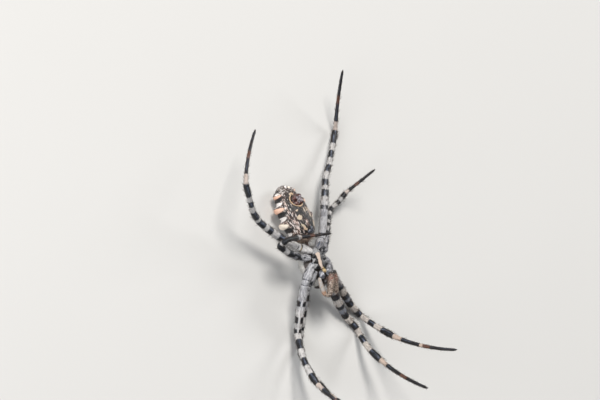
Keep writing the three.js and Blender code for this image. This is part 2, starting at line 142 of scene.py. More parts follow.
ABDOMEN = (
    (0.62, 0.02, -0.1, -0.14, -0.12),
    (0.68, 0.4, 0.22, -0.5, -0.15),
    (0.85, 0.85, 0.62, -0.95, -0.2),
    (1.25, 1.68, 1.32, -1.56, -0.2),
    (2.1, 2.55, 2.15, -2.15, -0.3),
    (3.4, 3.1, 2.57, -2.5, -0.4),
    (5.0, 3.25, 2.67, -2.72, -0.5),
    (6.8, 3.2, 2.55, -2.82, -0.5),
    (8.4, 3.0, 2.16, -2.86, -0.5),
    (9.7, 2.55, 1.65, -2.8, -0.5),
    (10.9, 2.0, 1.08, -2.52, -0.5),
    (11.8, 1.45, 0.5, -2.02, -0.6),
    (12.25, 0.8, 0.0, -1.55, -0.7),
    (12.42, 0.35, -0.4, -1.1, -0.75),
    (12.46, 0.02, -0.73, -0.77, -0.75),
)
# Side lobes of the abdomen, ridges from flank to back: centre, then half sizes.
LOBES = (
    ((1.95, 2.2, -0.8), (0.9, 0.85, 1.0)),
    ((3.08, 5.2, -0.5), (1.0, 0.9, 1.4)),
    ((2.81, 8.3, -0.5), (0.95, 0.88, 1.3)),
    ((1.85, 10.85, -0.6), (0.8, 0.72, 1.0)),
)
SPINNERETS_AT = (0.0, 8.85)


# ------------------------------------------------------------------ frame
def turned(points):
    """Body frame to the floor's frame, both in millimetres, before the shift."""
    p = np.asarray(points, float)
    c, s = math.cos(BODY_PITCH), math.sin(BODY_PITCH)
    y = p[..., 1] * c + p[..., 2] * s
    z = -p[..., 1] * s + p[..., 2] * c + BODY_LIFT
    return np.stack([p[..., 0], y, z], -1)


def frame_shift():
    """How far the CAD model moved its origin, read from the place of one eye."""
    low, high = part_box("eye_front_middle_R")
    seen = np.array((low + high) / 2) / MM
    return seen - turned(EYES["eye_front_middle"][0])


SHIFT = frame_shift()


def to_world(points):
    return (turned(points) + SHIFT) * MM


# ------------------------------------------------------------------ numbers
def smooth_rows(rows, count):
    """Catmull-Rom through the rows of a table, evenly spaced in row number."""
    rows = np.asarray(rows, float)
    last = len(rows) - 1
    u = np.linspace(0, last, count)
    k = np.minimum(u.astype(int), last - 1)
    t = (u - k)[:, None]
    a = rows[np.maximum(k - 1, 0)]
    b = rows[k]
    c = rows[k + 1]
    d = rows[np.minimum(k + 2, last)]
    return 0.5 * (2 * b + (c - a) * t + (2 * a - 5 * b + 4 * c - d) * t ** 2
                  + (3 * b - a - 3 * c + d) * t ** 3)


def ease(low, high, value):
    t = np.clip((value - low) / (high - low), 0, 1)
    return t * t * (3 - 2 * t)


def unit(v):
    return v / np.maximum(np.linalg.norm(v, axis=-1, keepdims=True), 1e-12)


def noise3(points, scale, seed=0):
    """Smooth value noise, -1 to 1, at points in millimetres."""
    p = np.asarray(points, float) * scale + seed * 17.31
    cell = np.floor(p).astype(np.int64)
    f = p - cell
    f = f * f * (3 - 2 * f)
    total = 0.0
    for corner in range(8):
        bits = np.array([(corner >> i) & 1 for i in range(3)])
        q = cell + bits
        h = (q[..., 0] * 374761393 + q[..., 1] * 668265263 + q[..., 2] * 2147483647
             + seed * 974711) & 0xFFFFFFFF
        h = ((h ^ (h >> 13)) * 1274126177) & 0xFFFFFFFF
        value = ((h ^ (h >> 16)) & 0xFFFF) / 32767.5 - 1
        weight = np.prod(np.where(bits, f, 1 - f), axis=-1)
        total = total + value * weight
    return total


# ------------------------------------------------------------------ meshes
def build(name, verts, quads, tris, fields=None):
    """A smooth-shaded mesh object, with per-vertex fields as attributes."""
    verts = np.array(verts, np.float32)
    verts[:, 2] = np.maximum(verts[:, 2], FLOOR_CLEAR)
    quads = np.asarray(quads, np.int32).reshape(-1, 4)
    tris = np.asarray(tris, np.int32).reshape(-1, 3)
    mesh = bpy.data.meshes.new(name)
    mesh.vertices.add(len(verts))
    mesh.vertices.foreach_set("co", verts.ravel())
    corners = np.concatenate([quads.ravel(), tris.ravel()])
    mesh.loops.add(len(corners))
    mesh.loops.foreach_set("vertex_index", corners)
    starts = np.concatenate([np.arange(len(quads)) * 4,
                             len(quads) * 4 + np.arange(len(tris)) * 3])
    mesh.polygons.add(len(starts))
    mesh.polygons.foreach_set("loop_start", starts.astype(np.int32))
    mesh.polygons.foreach_set("use_smooth", np.ones(len(starts), bool))
    mesh.update(calc_edges=True)
    for field, values in (fields or {}).items():
        values = np.asarray(values, np.float32)
        kind = "FLOAT" if values.ndim == 1 else "FLOAT_VECTOR"
        layer = mesh.attributes.new(field, kind, "POINT")
        layer.data.foreach_set("value" if values.ndim == 1 else "vector", values.ravel())
    obj = bpy.data.objects.new(name, mesh)
    bpy.context.scene.collection.objects.link(obj)
    return obj


class Surface:
    """A grid of points, closed round its columns and capped at both ends.

    fields hold one value, or one vector, for each grid point. patch is the rectangle
    (u, v, width, height) of the bake map that hairs scattered on the grid take their map places
    from.
    """

    def __init__(self, points, fields=None, patch=(0.0, 0.0, 1.0, 1.0)):
        self.points = points
        self.fields = dict(fields or {})
        self.patch = patch
        along = np.gradient(points, axis=0)
        across = np.roll(points, -1, 1) - np.roll(points, 1, 1)
        self.along = unit(along)
        self.normals = unit(np.cross(across, along))
        middle = points.mean(axis=1, keepdims=True)
        inward = ((points - middle) * self.normals).sum(-1).mean() < 0
        if inward:
            self.normals = -self.normals
        self.flipped = inward

    def push(self, distance):
        """Moves every point out along its normal by millimetres."""
        moved = self.points + self.normals * (np.asarray(distance) * MM)[..., None]
        return Surface(moved, self.fields, self.patch)

    def mesh(self, name):
        rows, cols = self.points.shape[:2]
        index = np.arange(rows * cols).reshape(rows, cols)
        right = np.roll(index, -1, 1)
        quads = np.stack([index[:-1], right[:-1], right[1:], index[1:]], -1)
        first, last = rows * cols, rows * cols + 1
        tris = [np.stack([np.full(cols, first), right[0], index[0]], -1),
                np.stack([np.full(cols, last), index[-1], right[-1]], -1)]
        quads, tris = quads.reshape(-1, 4), np.concatenate(tris)
        if not self.flipped:
            quads, tris = quads[:, ::-1], tris[:, ::-1]
        ends = [self.points[0].mean(0), self.points[-1].mean(0)]
        verts = np.concatenate([self.points.reshape(-1, 3), ends])
        fields = {}
        for field, values in self.fields.items():
            flat = values.reshape((rows * cols,) + values.shape[2:])
            tail = [values[0].mean(0), values[-1].mean(0)]
            fields[field] = np.concatenate([flat, tail])
        return build(name, verts, quads, tris, fields)

    def scatter(self, density, rng, share=1.0):
        """Random roots, density to the square millimetre (a number or a grid)."""
        p = self.points
        edge_a = p[1:] - p[:-1]
        edge_b = np.roll(p, -1, 1)[:-1] - p[:-1]
        area = np.linalg.norm(np.cross(edge_a, edge_b), axis=-1) / MM ** 2
        grid = np.broadcast_to(np.asarray(density, float), p.shape[:2])[:-1]
        weight = (area * grid).ravel()
        count = int(round(weight.sum() * share))
        if count == 0:
            return None
        pick = rng.choice(weight.size, size=count, p=weight / weight.sum())
        rows, cols = np.divmod(pick, p.shape[1])
        u, v = rng.random(count), rng.random(count)

        def blend(values):
            nxt = np.roll(values, -1, 1)
            shape = (count,) + (1,) * (values.ndim - 2)
            uu, vv = u.reshape(shape), v.reshape(shape)
            return ((values[rows, cols] * (1 - vv) + nxt[rows, cols] * vv) * (1 - uu)
                    + (values[rows + 1, cols] * (1 - vv) + nxt[rows + 1, cols] * vv) * uu)

        left, low, width, height = self.patch
        uv = np.stack([left + width * (rows + u) / (p.shape[0] - 1),
                       low + height * (cols + v) / p.shape[1]], -1)
        found = {"at": blend(p), "normal": unit(blend(self.normals)),
                 "along": unit(blend(self.along)), "uv": uv}
        for field, values in self.fields.items():
            found[field] = blend(values)
        return found


def hairs(name, roots, direction, length, width, material, slot, curl=None):
    """Tapered hairs as one solid mesh, with the OFBake map; sizes in millimetres."""
    count = len(roots["at"])
    direction = unit(direction)
    length = (np.broadcast_to(length, count) * MM)[:, None]
    width = (np.broadcast_to(width, count) * MM)[:, None]
    side = unit(np.cross(direction, roots["normal"] + direction[:, ::-1] * 0.3))
    other = np.cross(direction, side)
    root = roots["at"] - roots["normal"] * 0.02 * MM
    rings = [(0.0, 1.0)] if curl is None else [(0.0, 1.0), (0.5, 0.75)]
    bend = 0 if curl is None else curl
    verts = []
    for reach, girth in rings:
        centre = root + direction * length * reach + bend * length * reach ** 2
        for k in range(3):
            angle = 2 * math.pi * k / 3
            verts.append(centre + (side * math.cos(angle) + other * math.sin(angle))
                         * width * girth / 2)
    verts.append(root + direction * length + bend * length)
    per = len(verts)
    verts = np.stack(verts, 1).reshape(-1, 3)
    shape = []
    for k in range(3):
        n = (k + 1) % 3
        if curl is None:
            shape.append((k, n, 3))
        else:
            shape += [(k, n, 3 + n), (k, 3 + n, 3 + k), (3 + k, 3 + n, 6)]
    tris = (np.arange(count)[:, None, None] * per + np.array(shape)[None]).reshape(-1, 3)
    obj = build(name, verts, np.zeros((0, 4)), tris)
    spread = np.linspace(-0.0015, 0.0015, per)
    uv = (roots["uv"][:, None] * 0.98 + 0.01
          + np.stack([spread, -spread[::-1] * np.sign(np.arange(per) % 2 - 0.5)], -1))
    layer = obj.data.uv_layers.new(name="OFBake")
    layer.data.foreach_set("uv", uv.reshape(-1, 2)[tris.ravel()].astype(np.float32).ravel())
    finish_piece(obj, material, slot)
    return obj


def combed(roots, low, high, stray, rng):
    """Directions of hair that lies along a surface and lifts off it by low to high."""
    count = len(roots["uv"])
    lift = rng.uniform(low, high, count)[:, None]
    return roots["along"] * (1 - lift) + roots["normal"] * lift \
        + rng.normal(0, stray, (count, 3))


def picked(roots, keep):
    return {key: values[keep] for key, values in roots.items()}


def joined(parts):
    return {key: np.concatenate([p[key] for p in parts]) for key in parts[0]}


def finish_piece(obj, material, slot, *nodes):
    obj.data.materials.clear()
    obj.data.materials.append(material)
    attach(obj, "root")
    if nodes:
        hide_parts(*nodes)
    return obj


# ------------------------------------------------------------------ materials
class Shader:
    """A small wrapper that keeps node graphs short to write."""

    def __init__(self, name, **constants):
        self.material = bpy.data.materials.new(name)
        self.material.use_nodes = True
        self.tree = self.material.node_tree
        self.surface = self.tree.nodes["Principled BSDF"]
        for socket, value in constants.items():
            self.surface.inputs[socket.replace("_", " ")].default_value = value

    def node(self, kind, inputs=(), **settings):
        made = self.tree.nodes.new(kind)
        for key, value in settings.items():
            setattr(made, key, value)
        for socket, value in dict(inputs).items():
            self.feed(made.inputs[socket], value)
        return made

    def feed(self, socket, value):
        if isinstance(value, bpy.types.NodeSocket):
            self.tree.links.new(value, socket)
        else:
            socket.default_value = value

    def field(self, name, vector=False):
        made = self.node("ShaderNodeAttribute", attribute_name=name)
        return made.outputs["Vector" if vector else "Fac"]

    def stretch(self, vector, scale):
        inputs = {0: vector, 1: scale}
        return self.node("ShaderNodeVectorMath", inputs, operation="MULTIPLY").outputs[0]

    def noise(self, vector, scale, detail=3.0, roughness=0.55, distortion=0.0):
        inputs = {"Vector": vector, "Scale": scale, "Detail": detail,
                  "Roughness": roughness, "Distortion": distortion}
        return self.node("ShaderNodeTexNoise", inputs).outputs["Fac"]

    def math(self, operation, a, b=0.0, c=0.0):
        return self.node("ShaderNodeMath", {0: a, 1: b, 2: c}, operation=operation).outputs[0]

    def edge(self, value, low, high, out_low=0.0, out_high=1.0):
        inputs = {"Value": value, "From Min": low, "From Max": high,
                  "To Min": out_low, "To Max": out_high}
        made = self.node("ShaderNodeMapRange", inputs, interpolation_type="SMOOTHSTEP")
        return made.outputs["Result"]

    def mix(self, factor, a, b):
        made = self.node("ShaderNodeMix", data_type="RGBA")
        for index, value in ((0, factor), (6, colour(a)), (7, colour(b))):
            self.feed(made.inputs[index], value)
        return made.outputs[2]

    def step(self, value, low, high, a, b):
        """Colour a where the value is below low, b where it is above high."""
        return self.mix(self.edge(value, low, high), a, b)

    def blend(self, factor, a, b):
        return self.node("ShaderNodeMix", {0: factor, 2: a, 3: b}).outputs[0]

    def bump(self, *layers):
        """layers: (height, depth in millimetres), from coarse to fine."""
        normal = None
        for height, depth in layers:
            inputs = {"Height": height, "Distance": depth * MM, "Strength": 1.0}
            made = self.node("ShaderNodeBump", inputs)
            if normal is not None:
                self.feed(made.inputs["Normal"], normal)
            normal = made.outputs["Normal"]
        self.feed(self.surface.inputs["Normal"], normal)

    def paint(self, base=None, roughness=None):
        if base is not None:
            self.feed(self.surface.inputs["Base Color"], colour(base))
        if roughness is not None:
            self.feed(self.surface.inputs["Roughness"], roughness)
        return self.material


def colour(value):
    if isinstance(value, (tuple, list)) and len(value) == 3:
        return (*value, 1.0)
    return value


BLACK = (0.006, 0.006, 0.007)
INK = (0.006, 0.007, 0.009)
# Painted highlight: the blue-grey painted along the black leg rings where light would glint on them.
PAINTED_HIGHLIGHT_SLATE = (0.17, 0.20, 0.28)
BLUE_GREY = (0.20, 0.215, 0.25)
SILVER = (0.42, 0.42, 0.435)
WHITE = (0.54, 0.525, 0.51)
CREAM = (0.50, 0.42, 0.37)
YELLOW = (0.44, 0.33, 0.15)
RUFOUS = (0.10, 0.040, 0.022)


def leg_material():
    """Silver down in rings over black chitin, with painted highlights on the rings; the fields carry
    where each ring and each painted highlight is.
    """
    s = Shader("leg_rings", Specular_IOR_Level=0.4)
    xyz = s.field("leg_xyz", vector=True)
    streak = s.noise(s.stretch(xyz, (0.55, 4.0, 4.0)), 1.4, 4.0, 0.6)
    fine = s.noise(s.stretch(xyz, (2.0, 8.0, 8.0)), 2.2, 3.0, 0.6)
    ragged = s.noise(s.stretch(xyz, (1.2, 4.0, 4.0)), 2.0, 3.0, 0.6)
    wobble = s.math("MULTIPLY_ADD", ragged, 0.62, -0.31)
    dark = s.edge(s.math("ADD", s.field("dark"), wobble), -0.09, 0.09)
    grey = s.math("MULTIPLY", s.edge(streak, 0.43, 0.55), s.field("grey"))
    pale = s.mix(grey, s.field("pale", vector=True), (0.10, 0.10, 0.12))
    worn = s.math("ADD", s.field("grey"), 0.25)
    worn = s.math("MULTIPLY", s.edge(fine, 0.45, 0.75, 0.0, 0.45), worn)
    pale = s.mix(worn, pale, (0.18, 0.175, 0.18))
    # Painted highlight: blue-grey streaks painted into the black rings where the painted highlight
    # field is high.
    blue = s.math("MULTIPLY", s.edge(streak, 0.44, 0.62), s.field("painted_ring_highlight"))
    deep = s.mix(blue, s.field("deep", vector=True), PAINTED_HIGHLIGHT_SLATE)
    s.bump((streak, 0.05), (fine, 0.03))
    return s.paint(s.mix(dark, pale, deep), s.blend(dark, 0.7, 0.38))


def plain_coat(name, pale, shade, roughness):
    s = Shader(name, Specular_IOR_Level=0.4)
    where = s.node("ShaderNodeTexCoord").outputs["Object"]
    tint = s.noise(where, 900.0, 2.0)
    return s.paint(s.step(tint, 0.35, 0.65, pale, shade), roughness)


def carapace_material():
    s = Shader("carapace_skin", Specular_IOR_Level=0.5)
    xyz = s.field("body_xyz", vector=True)
    patch = s.noise(xyz, 1.3, 4.0, 0.6)
    fine = s.noise(s.stretch(xyz, (1.6, 0.9, 1.6)), 9.0, 3.0, 0.6)
    pale = s.step(fine, 0.35, 0.65, (0.56, 0.55, 0.52), (0.22, 0.21, 0.20))
    bare = s.math("ADD", s.field("bare"), s.math("MULTIPLY_ADD", patch, 0.9, -0.45))
    base = s.step(bare, -0.1, 0.15, pale, (0.035, 0.026, 0.024))
    s.bump((patch, 0.06), (fine, 0.035))
    return s.paint(base, s.blend(s.edge(bare, -0.1, 0.15), 0.7, 0.38))


def sternum_material():
    s = Shader("sternum_skin", Specular_IOR_Level=0.4)
    xyz = s.field("body_xyz", vector=True)
    fine = s.noise(xyz, 9.0, 3.0, 0.6)
    ragged = s.math("MULTIPLY_ADD", s.noise(xyz, 3.4, 3.0, 0.6), 0.7, -0.35)
    black = s.step(fine, 0.5, 0.75, BLACK, (0.06, 0.058, 0.062))
    down = s.edge(s.math("ADD", s.field("silver"), ragged), -0.08, 0.08)
    grey = s.step(fine, 0.35, 0.6, (0.40, 0.40, 0.405), (0.17, 0.17, 0.175))
    base = s.mix(down, black, grey)
    cream = s.step(fine, 0.3, 0.7, (0.58, 0.47, 0.39), (0.42, 0.33, 0.27))
    band = s.edge(s.math("ADD", s.field("band"), s.math("MULTIPLY", ragged, 0.8)), -0.07, 0.07)
    base = s.mix(band, base, cream)
    yellow = s.edge(s.field("yellow"), -0.06, 0.06)
    base = s.mix(yellow, base, YELLOW)
    s.bump((fine, 0.03), (s.noise(xyz, 22.0, 2.0), 0.012))
    return s.paint(base, s.blend(band, s.blend(down, 0.28, 0.6), 0.5))


def abdomen_material():
    s = Shader("abdomen_skin", Specular_IOR_Level=0.45, Coat_Weight=0.06, Coat_Roughness=0.25)
    xyz = s.field("body_xyz", vector=True)
    long_grain = s.stretch(xyz, (1.0, 0.24, 1.0))
    streak = s.noise(long_grain, 5.4, 3.0, 0.55, 0.4)
    blush = s.noise(s.stretch(xyz, (1.0, 0.4, 1.0)), 2.1, 3.0, 0.55, 0.3)
    speck = s.noise(xyz, 4.6, 4.0, 0.62)
    fine = s.noise(xyz, 14.0, 3.0, 0.6)
    ragged = s.math("MULTIPLY_ADD", s.noise(xyz, 4.2, 4.0, 0.62), 0.7, -0.35)

    def layer(base, field, paint, rough_edge=0.5, soft=0.05):
        wander = s.math("MULTIPLY", ragged, rough_edge)
        value = s.math("ADD", s.field(field), wander)
        return s.step(value, -soft, soft, base, paint)

    grain = s.blend(s.field("tail"), streak, speck)
    pale_line = s.math("MULTIPLY_ADD", s.field("share"), 0.16, grain)
    ground = s.step(blush, 0.45, 0.6, (0.010, 0.009, 0.009), (0.035, 0.018, 0.014))
    mottle = s.step(pale_line, 0.605, 0.63, ground, (0.15, 0.085, 0.065))
    pale = s.step(blush, 0.44, 0.60, (0.70, 0.65, 0.62), (0.52, 0.40, 0.35))
    pale = s.mix(s.field("tail"), pale, (0.52, 0.50, 0.48))
    mottle = s.step(pale_line, 0.64, 0.665, mottle, pale)
    silver = s.step(fine, 0.36, 0.62, (0.62, 0.61, 0.58), (0.34, 0.32, 0.29))
    silver = s.step(s.noise(xyz, 2.2, 4.0, 0.6), 0.56, 0.64, silver, (0.16, 0.12, 0.09))
    base = layer(mottle, "silver", silver, 0.8, 0.12)
    fleck = s.math("MULTIPLY", s.edge(streak, 0.60, 0.66), 0.75)
    black = s.mix(fleck, (0.007, 0.007, 0.008), (0.36, 0.29, 0.25))
    base = layer(base, "black", black, 0.45, 0.04)
    base = layer(base, "pitch", (0.008, 0.008, 0.009), 0.2, 0.05)
    base = layer(base, "white", s.step(fine, 0.4, 0.8, (0.95, 0.91, 0.89), (0.72, 0.64, 0.61)), 0.35)
    warm = s.mix(s.field("warmth"), (0.96, 0.86, 0.74), (0.80, 0.42, 0.28))
    warm = s.mix(s.edge(speck, 0.42, 0.62, 0.0, 0.4), warm, (0.84, 0.70, 0.57))
    base = layer(base, "cream", warm, 0.3)
    spot = s.mix(s.field("warmth"), (0.42, 0.37, 0.27), (0.46, 0.27, 0.13))
    spot = s.step(speck, 0.45, 0.6, spot, (0.60, 0.50, 0.42))
    base = layer(base, "spots", spot, 0.8)
    base = layer(base, "arc", s.step(speck, 0.4, 0.6, (0.50, 0.31, 0.17), (0.52, 0.42, 0.31)), 0.16)
    rust = s.step(speck, 0.46, 0.58, (0.045, 0.018, 0.013), (0.40, 0.26, 0.19))
    base = layer(base, "rust", rust, 0.7, 0.12)
    base = layer(base, "pits", (0.05, 0.035, 0.03), 0.1, 0.04)
    s.bump((s.noise(long_grain, 3.2, 3.0), 0.10), (fine, 0.045),
           (s.noise(xyz, 30.0, 2.0), 0.012))
    return s.paint(base, s.edge(speck, 0.3, 0.7, 0.36, 0.55))


def chitin_material(name, base, light, roughness, coat=0.3):
    s = Shader(name, Specular_IOR_Level=0.55, Coat_Weight=coat, Coat_Roughness=0.12)
    where = s.node("ShaderNodeTexCoord").outputs["Object"]
    cloudy = s.noise(where, 1500.0, 4.0, 0.6)
    fine = s.noise(where, 9000.0, 3.0, 0.6)
    s.bump((cloudy, 0.05), (fine, 0.015))
    return s.paint(s.step(cloudy, 0.42, 0.66, base, light), roughness)


def palp_material():
    s = Shader("palp_skin", Specular_IOR_Level=0.45)
    xyz = s.field("leg_xyz", vector=True)
    along = s.field("place")
    fine = s.noise(s.stretch(xyz, (1.5, 5.0, 5.0)), 3.0, 3.0, 0.6)
    patch = s.noise(s.stretch(xyz, (1.0, 1.6, 1.6)), 2.6, 3.0, 0.6)
    cream = s.step(fine, 0.35, 0.7, (0.41, 0.405, 0.40), (0.31, 0.285, 0.26))
    cream = s.step(patch, 0.50, 0.66, cream, (0.34, 0.22, 0.13))
    orange = s.step(fine, 0.35, 0.7, (0.38, 0.24, 0.16), (0.28, 0.15, 0.09))
    brown = s.step(patch, 0.37, 0.45, (0.075, 0.05, 0.038), (0.40, 0.32, 0.26))
    spots = s.noise(xyz, 4.2, 3.0)
    brown = s.step(spots, 0.50, 0.56, brown, (0.045, 0.03, 0.026))
    brown = s.mix(s.edge(spots, 0.36, 0.40, 1.0, 0.0), brown, (0.56, 0.50, 0.44))
    black = (0.012, 0.010, 0.010)
    base = s.step(along, 0.86, 1.06, cream, orange)
    base = s.step(along, 1.2, 1.5, base, brown)
    red = s.math("MULTIPLY", s.edge(along, 2.3, 2.6), s.edge(patch, 0.45, 0.56))
    base = s.mix(red, base, (0.19, 0.06, 0.045))
    base = s.step(s.math("MULTIPLY_ADD", patch, 0.3, along), 2.86, 2.94, base, black)
    s.bump((fine, 0.04))
    return s.paint(base, 0.5)


def eye_material():
    s = Shader("eye_lens", Specular_IOR_Level=0.8, Coat_Weight=1.0, Coat_Roughness=0.02,
               Roughness=0.06)
    where = s.node("ShaderNodeTexCoord").outputs["Object"]
    depth = s.noise(where, 2500.0, 2.0)
    return s.paint(s.step(depth, 0.3, 0.7, (0.004, 0.003, 0.004), (0.03, 0.014, 0.01)))


def floor_material():
    s = Shader("studio_floor", Specular_IOR_Level=0.2)
    where = s.node("ShaderNodeTexCoord").outputs["Object"]
    grain = s.noise(where, 12.0, 2.0)
    return s.paint(s.mix(grain, (0.60, 0.595, 0.58), (0.62, 0.615, 0.60)), 0.85)


# ------------------------------------------------------------------ sweeps
def sweep(path, radii, sides, origin=None):
    """Rings round a path in metres; returns points, ring angles and arc in mm."""
    tangent = unit(np.gradient(path, axis=0))
    side = np.cross((0.0, 0.0, 1.0), tangent[0]) if origin is None else np.asarray(origin)
    if np.linalg.norm(side) < 0.1:
        side = np.array((1.0, 0.0, 0.0))
    sides_list, ups = [], []
    for t in tangent:
        side = side - t * side.dot(t)
        side = side / np.linalg.norm(side)
        sides_list.append(side)
        ups.append(np.cross(t, side))
    side, up = np.array(sides_list), np.array(ups)
    angle = 2 * math.pi * np.arange(sides) / sides
    ring = (side[:, None] * np.cos(angle)[None, :, None]
            + up[:, None] * np.sin(angle)[None, :, None])
    radii = np.asarray(radii)
    radii = radii[:, None] if radii.ndim == 1 else radii
    points = path[:, None] + ring * (radii * MM)[..., None]
    steps = np.linalg.norm(np.diff(path, axis=0), axis=1) / MM
    arc = np.concatenate([[0], np.cumsum(steps)])
    return points, angle, arc


def straightened(arc, girth, angle):
    """A tube's points as if its path ran straight, so that its marks don't bend."""
    girth = girth[:, None]
    return np.stack([arc[:, None] * np.ones(len(angle)), girth * np.cos(angle)[None],
                     girth * np.sin(angle)[None]], -1)


def round_corners(joints, bend, step):
    """A path through joints with each corner rounded, and its place numbers."""
    path, place = [], []
    for i in range(len(joints) - 1):
        a, b = joints[i], joints[i + 1]
        length = np.linalg.norm(b - a)
        start = 0 if i == 0 else bend / length
        end = 1 if i == len(joints) - 2 else 1 - bend / length
        count = max(3, int((end - start) * length / step))
        for t in np.linspace(start, end, count):
            path.append(a + (b - a) * t)
            place.append(i + t)
        if i < len(joints) - 2:
            c = joints[i + 2]
            into = b + (a - b) / length * bend
            after = np.linalg.norm(c - b)
            out = b + (c - b) / after * bend
            corner = max(5, int(2 * bend / step))
            for t in np.linspace(0, 1, corner + 2)[1:-1]:
                path.append(into * (1 - t) ** 2 + b * 2 * t * (1 - t) + out * t ** 2)
                if t < 0.5:
                    place.append(i + 1 - bend / length * (1 - 2 * t))
                else:
                    place.append(i + 1 + bend / after * (2 * t - 1))
    return np.array(path), np.array(place)


# ------------------------------------------------------------------ legs
def leg_joints(name):
    coxa, femur, pose, _ = LEGS[name]
    outward = -1 if name[0] == "L" else 1
    joints = [turned(coxa), turned(femur)]
    for (heading, height), length in zip(pose, LEG_LENGTHS[name[1]]):
        start = joints[-1]
        rise = height - start[2]
        reach = math.sqrt(length ** 2 - rise ** 2)
        angle = math.radians(heading)
        joints.append(start + np.array([outward * reach * math.sin(angle),
                                        -reach * math.cos(angle), rise]))
    return np.array(joints) + SHIFT


# Black rings, as places along the leg, with how black each is.
RINGS = {
    "L1": ((1.15, 1.26, 0.8), (1.43, 1.54, 0.8), (1.71, 1.78, 0.8), (1.88, 1.98, 0.95),
           (2.48, 3.04, 1.0), (3.25, 3.5, 1.0), (3.7, 4.06, 1.0), (4.21, 4.48, 1.0)),
    "L2": ((1.38, 1.48, 0.8), (1.67, 1.8, 0.85), (1.9, 2.03, 0.95), (2.45, 3.02, 1.0),
           (3.25, 3.46, 1.0), (3.7, 4.01, 1.0), (4.15, 4.47, 1.0)),
    "L3": ((1.12, 1.25, 0.8), (1.45, 1.6, 0.9), (1.78, 2.3, 1.0), (2.45, 3.78, 1.0),
           (4.05, 4.4, 1.0)),
    "L4": ((1.38, 1.51, 1.0), (1.66, 1.76, 1.0), (1.84, 2.02, 1.0), (2.3, 3.0, 1.0),
           (3.2, 3.39, 1.0), (3.57, 3.99, 1.0), (4.16, 4.47, 1.0)),
    "R1": ((1.36, 1.5, 1.0), (1.66, 1.75, 0.9), (1.86, 2.0, 1.0), (2.4, 2.96, 1.0),
           (3.2, 3.4, 1.0), (3.65, 3.97, 1.0), (4.14, 4.47, 1.0)),
    "R2": ((1.42, 1.5, 1.0), (1.66, 1.77, 1.0), (1.84, 2.0, 1.0), (2.46, 2.98, 1.0),
           (3.26, 3.44, 1.0), (3.64, 3.97, 1.0), (4.12, 4.42, 1.0)),
    "R3": ((1.4, 1.5, 0.8), (1.65, 1.75, 0.8), (1.85, 2.02, 1.0), (2.4, 3.0, 1.0),
           (3.3, 3.5, 1.0), (3.7, 4.0, 1.0), (4.13, 4.36, 1.0)),
    "R4": ((1.47, 1.54, 0.55), (1.68, 1.8, 0.85), (1.86, 1.97, 1.0), (2.38, 3.0, 1.0),
           (3.21, 3.41, 1.0), (3.61, 3.99, 1.0), (4.16, 4.5, 1.0)),
}
# The black tip of each leg starts at these places, after a brown ring this wide.
BROWN_RING = 0.13
TIP_STARTS = {"1": 4.6, "2": 4.6, "3": 4.48, "4": 4.6}
HIGHLIGHT_LINE_SIDE = unit(np.array((-0.60, 0.10, 0.79)))    # which way the painted highlight line on a femur faces and the painted blue highlight of the rings
PAINTED_HIGHLIGHT_SIDE = unit(np.array((-0.50, 0.45, 0.74)))   # and the blue gloss of the rings
LEG_SIDES = 26
PATTERN_STEP = 31.7            # keeps the noise of one leg from repeating on the next

# What differs from leg to leg. A leg that isn't in a table takes the usual look.
CREAM_LEGS = ("R1", "R2")
BRIGHT_LEGS = ("L1", "L2")
SPECKLED_LEGS = ("L3", "R3")
# L4's base is white down, painted brighter still as painted light where it lies in shade.
WHITE_BASE_PAINTED_LIGHT_LEGS = ("L4",)
# How strongly the painted highlight line breaks the rings of a femur.
PAINTED_HIGHLIGHT_LINES = {"L1": 0.6, "L2": 0.85, "R4": 0.22}
# How much dark blots spare the base of a leg, and how much more they spare the side the femur's
# highlight line faces; the blots are real dark patches, and their gathering on the sides turned away
# is painted shade.
BLOTS_SPARE = {"L1": (0.3, 0.15), "L2": (0.3, 0.15), "R4": (0.25, 0.15),
               "L3": (0.25, 0.0), "R3": (0.25, 0.0)}
USUAL_SPARE = (0.42, 0.5)
# The share of grey streaks that is left, and the place after which the base is smooth.
GREY_SHARE = {"L1": 0.65, "L2": 0.65, "L4": 0.8, "R4": 0.8}
SMOOTH_AFTER = {"L4": -1.0, "R4": 1.0}
SMOOTH_UNTIL, SMOOTH_GREY = 1.35, 0.3


def ring_distance(name, place, scale):
    """Millimetres inside (+) or outside (-) the nearest black ring."""
    best = np.full(place.shape, -9.0)
    tip = (TIP_STARTS[name[1]] - BROWN_RING, 5.2, 1.0)
    for start, end, strength in (*RINGS[name], tip):
        inside = np.minimum(place - start, end - place) * scale
        best = np.maximum(best, np.minimum(inside, 0.5 * strength - 0.2))
    return best


def leg_path(name):
    """Centre points of a leg in millimetres, with their place numbers and arc."""
    joints = leg_joints(name)
    path, place = round_corners(joints, BEND, PATH_STEP)
    segment = np.minimum(place.astype(int), 4)
    t = place - segment
    bows = LEGS[name][3]
    sway = np.array([bows.get(k, (0.0, 0.0)) for k in range(5)])[segment]
    path[:, :2] += sway * (4 * t * (1 - t))[:, None]
    lengths = np.linalg.norm(np.diff(joints, axis=0), axis=1)
    arc_at = np.concatenate([[0], np.cumsum(lengths)])
    return path, place, lengths, arc_at


def leg_girth(name, place, arc, arc_at):
    """Radius in millimetres, pinched in at each joint's membrane."""
    stout = LEG_STOUTNESS[name[1]]
    girth = np.interp(place, *np.array(LEG_GIRTH).T) * stout - COAT_DEPTH
    creases = list(arc_at[1:-1]) + [arc_at[1] + TROCHANTER, arc_at[5] - TARSUS * stout]
    for crease, depth in zip(creases, CREASE_DEPTHS):
        girth = girth * (1 - depth * np.exp(-((arc - crease) / 0.09) ** 2))
        girth = girth * (1 + 0.05 * np.exp(-((arc - crease - 0.3) / 0.18) ** 2))
    return girth * np.sqrt(np.clip((arc_at[-1] - arc) / 0.3, 0.02, 1))


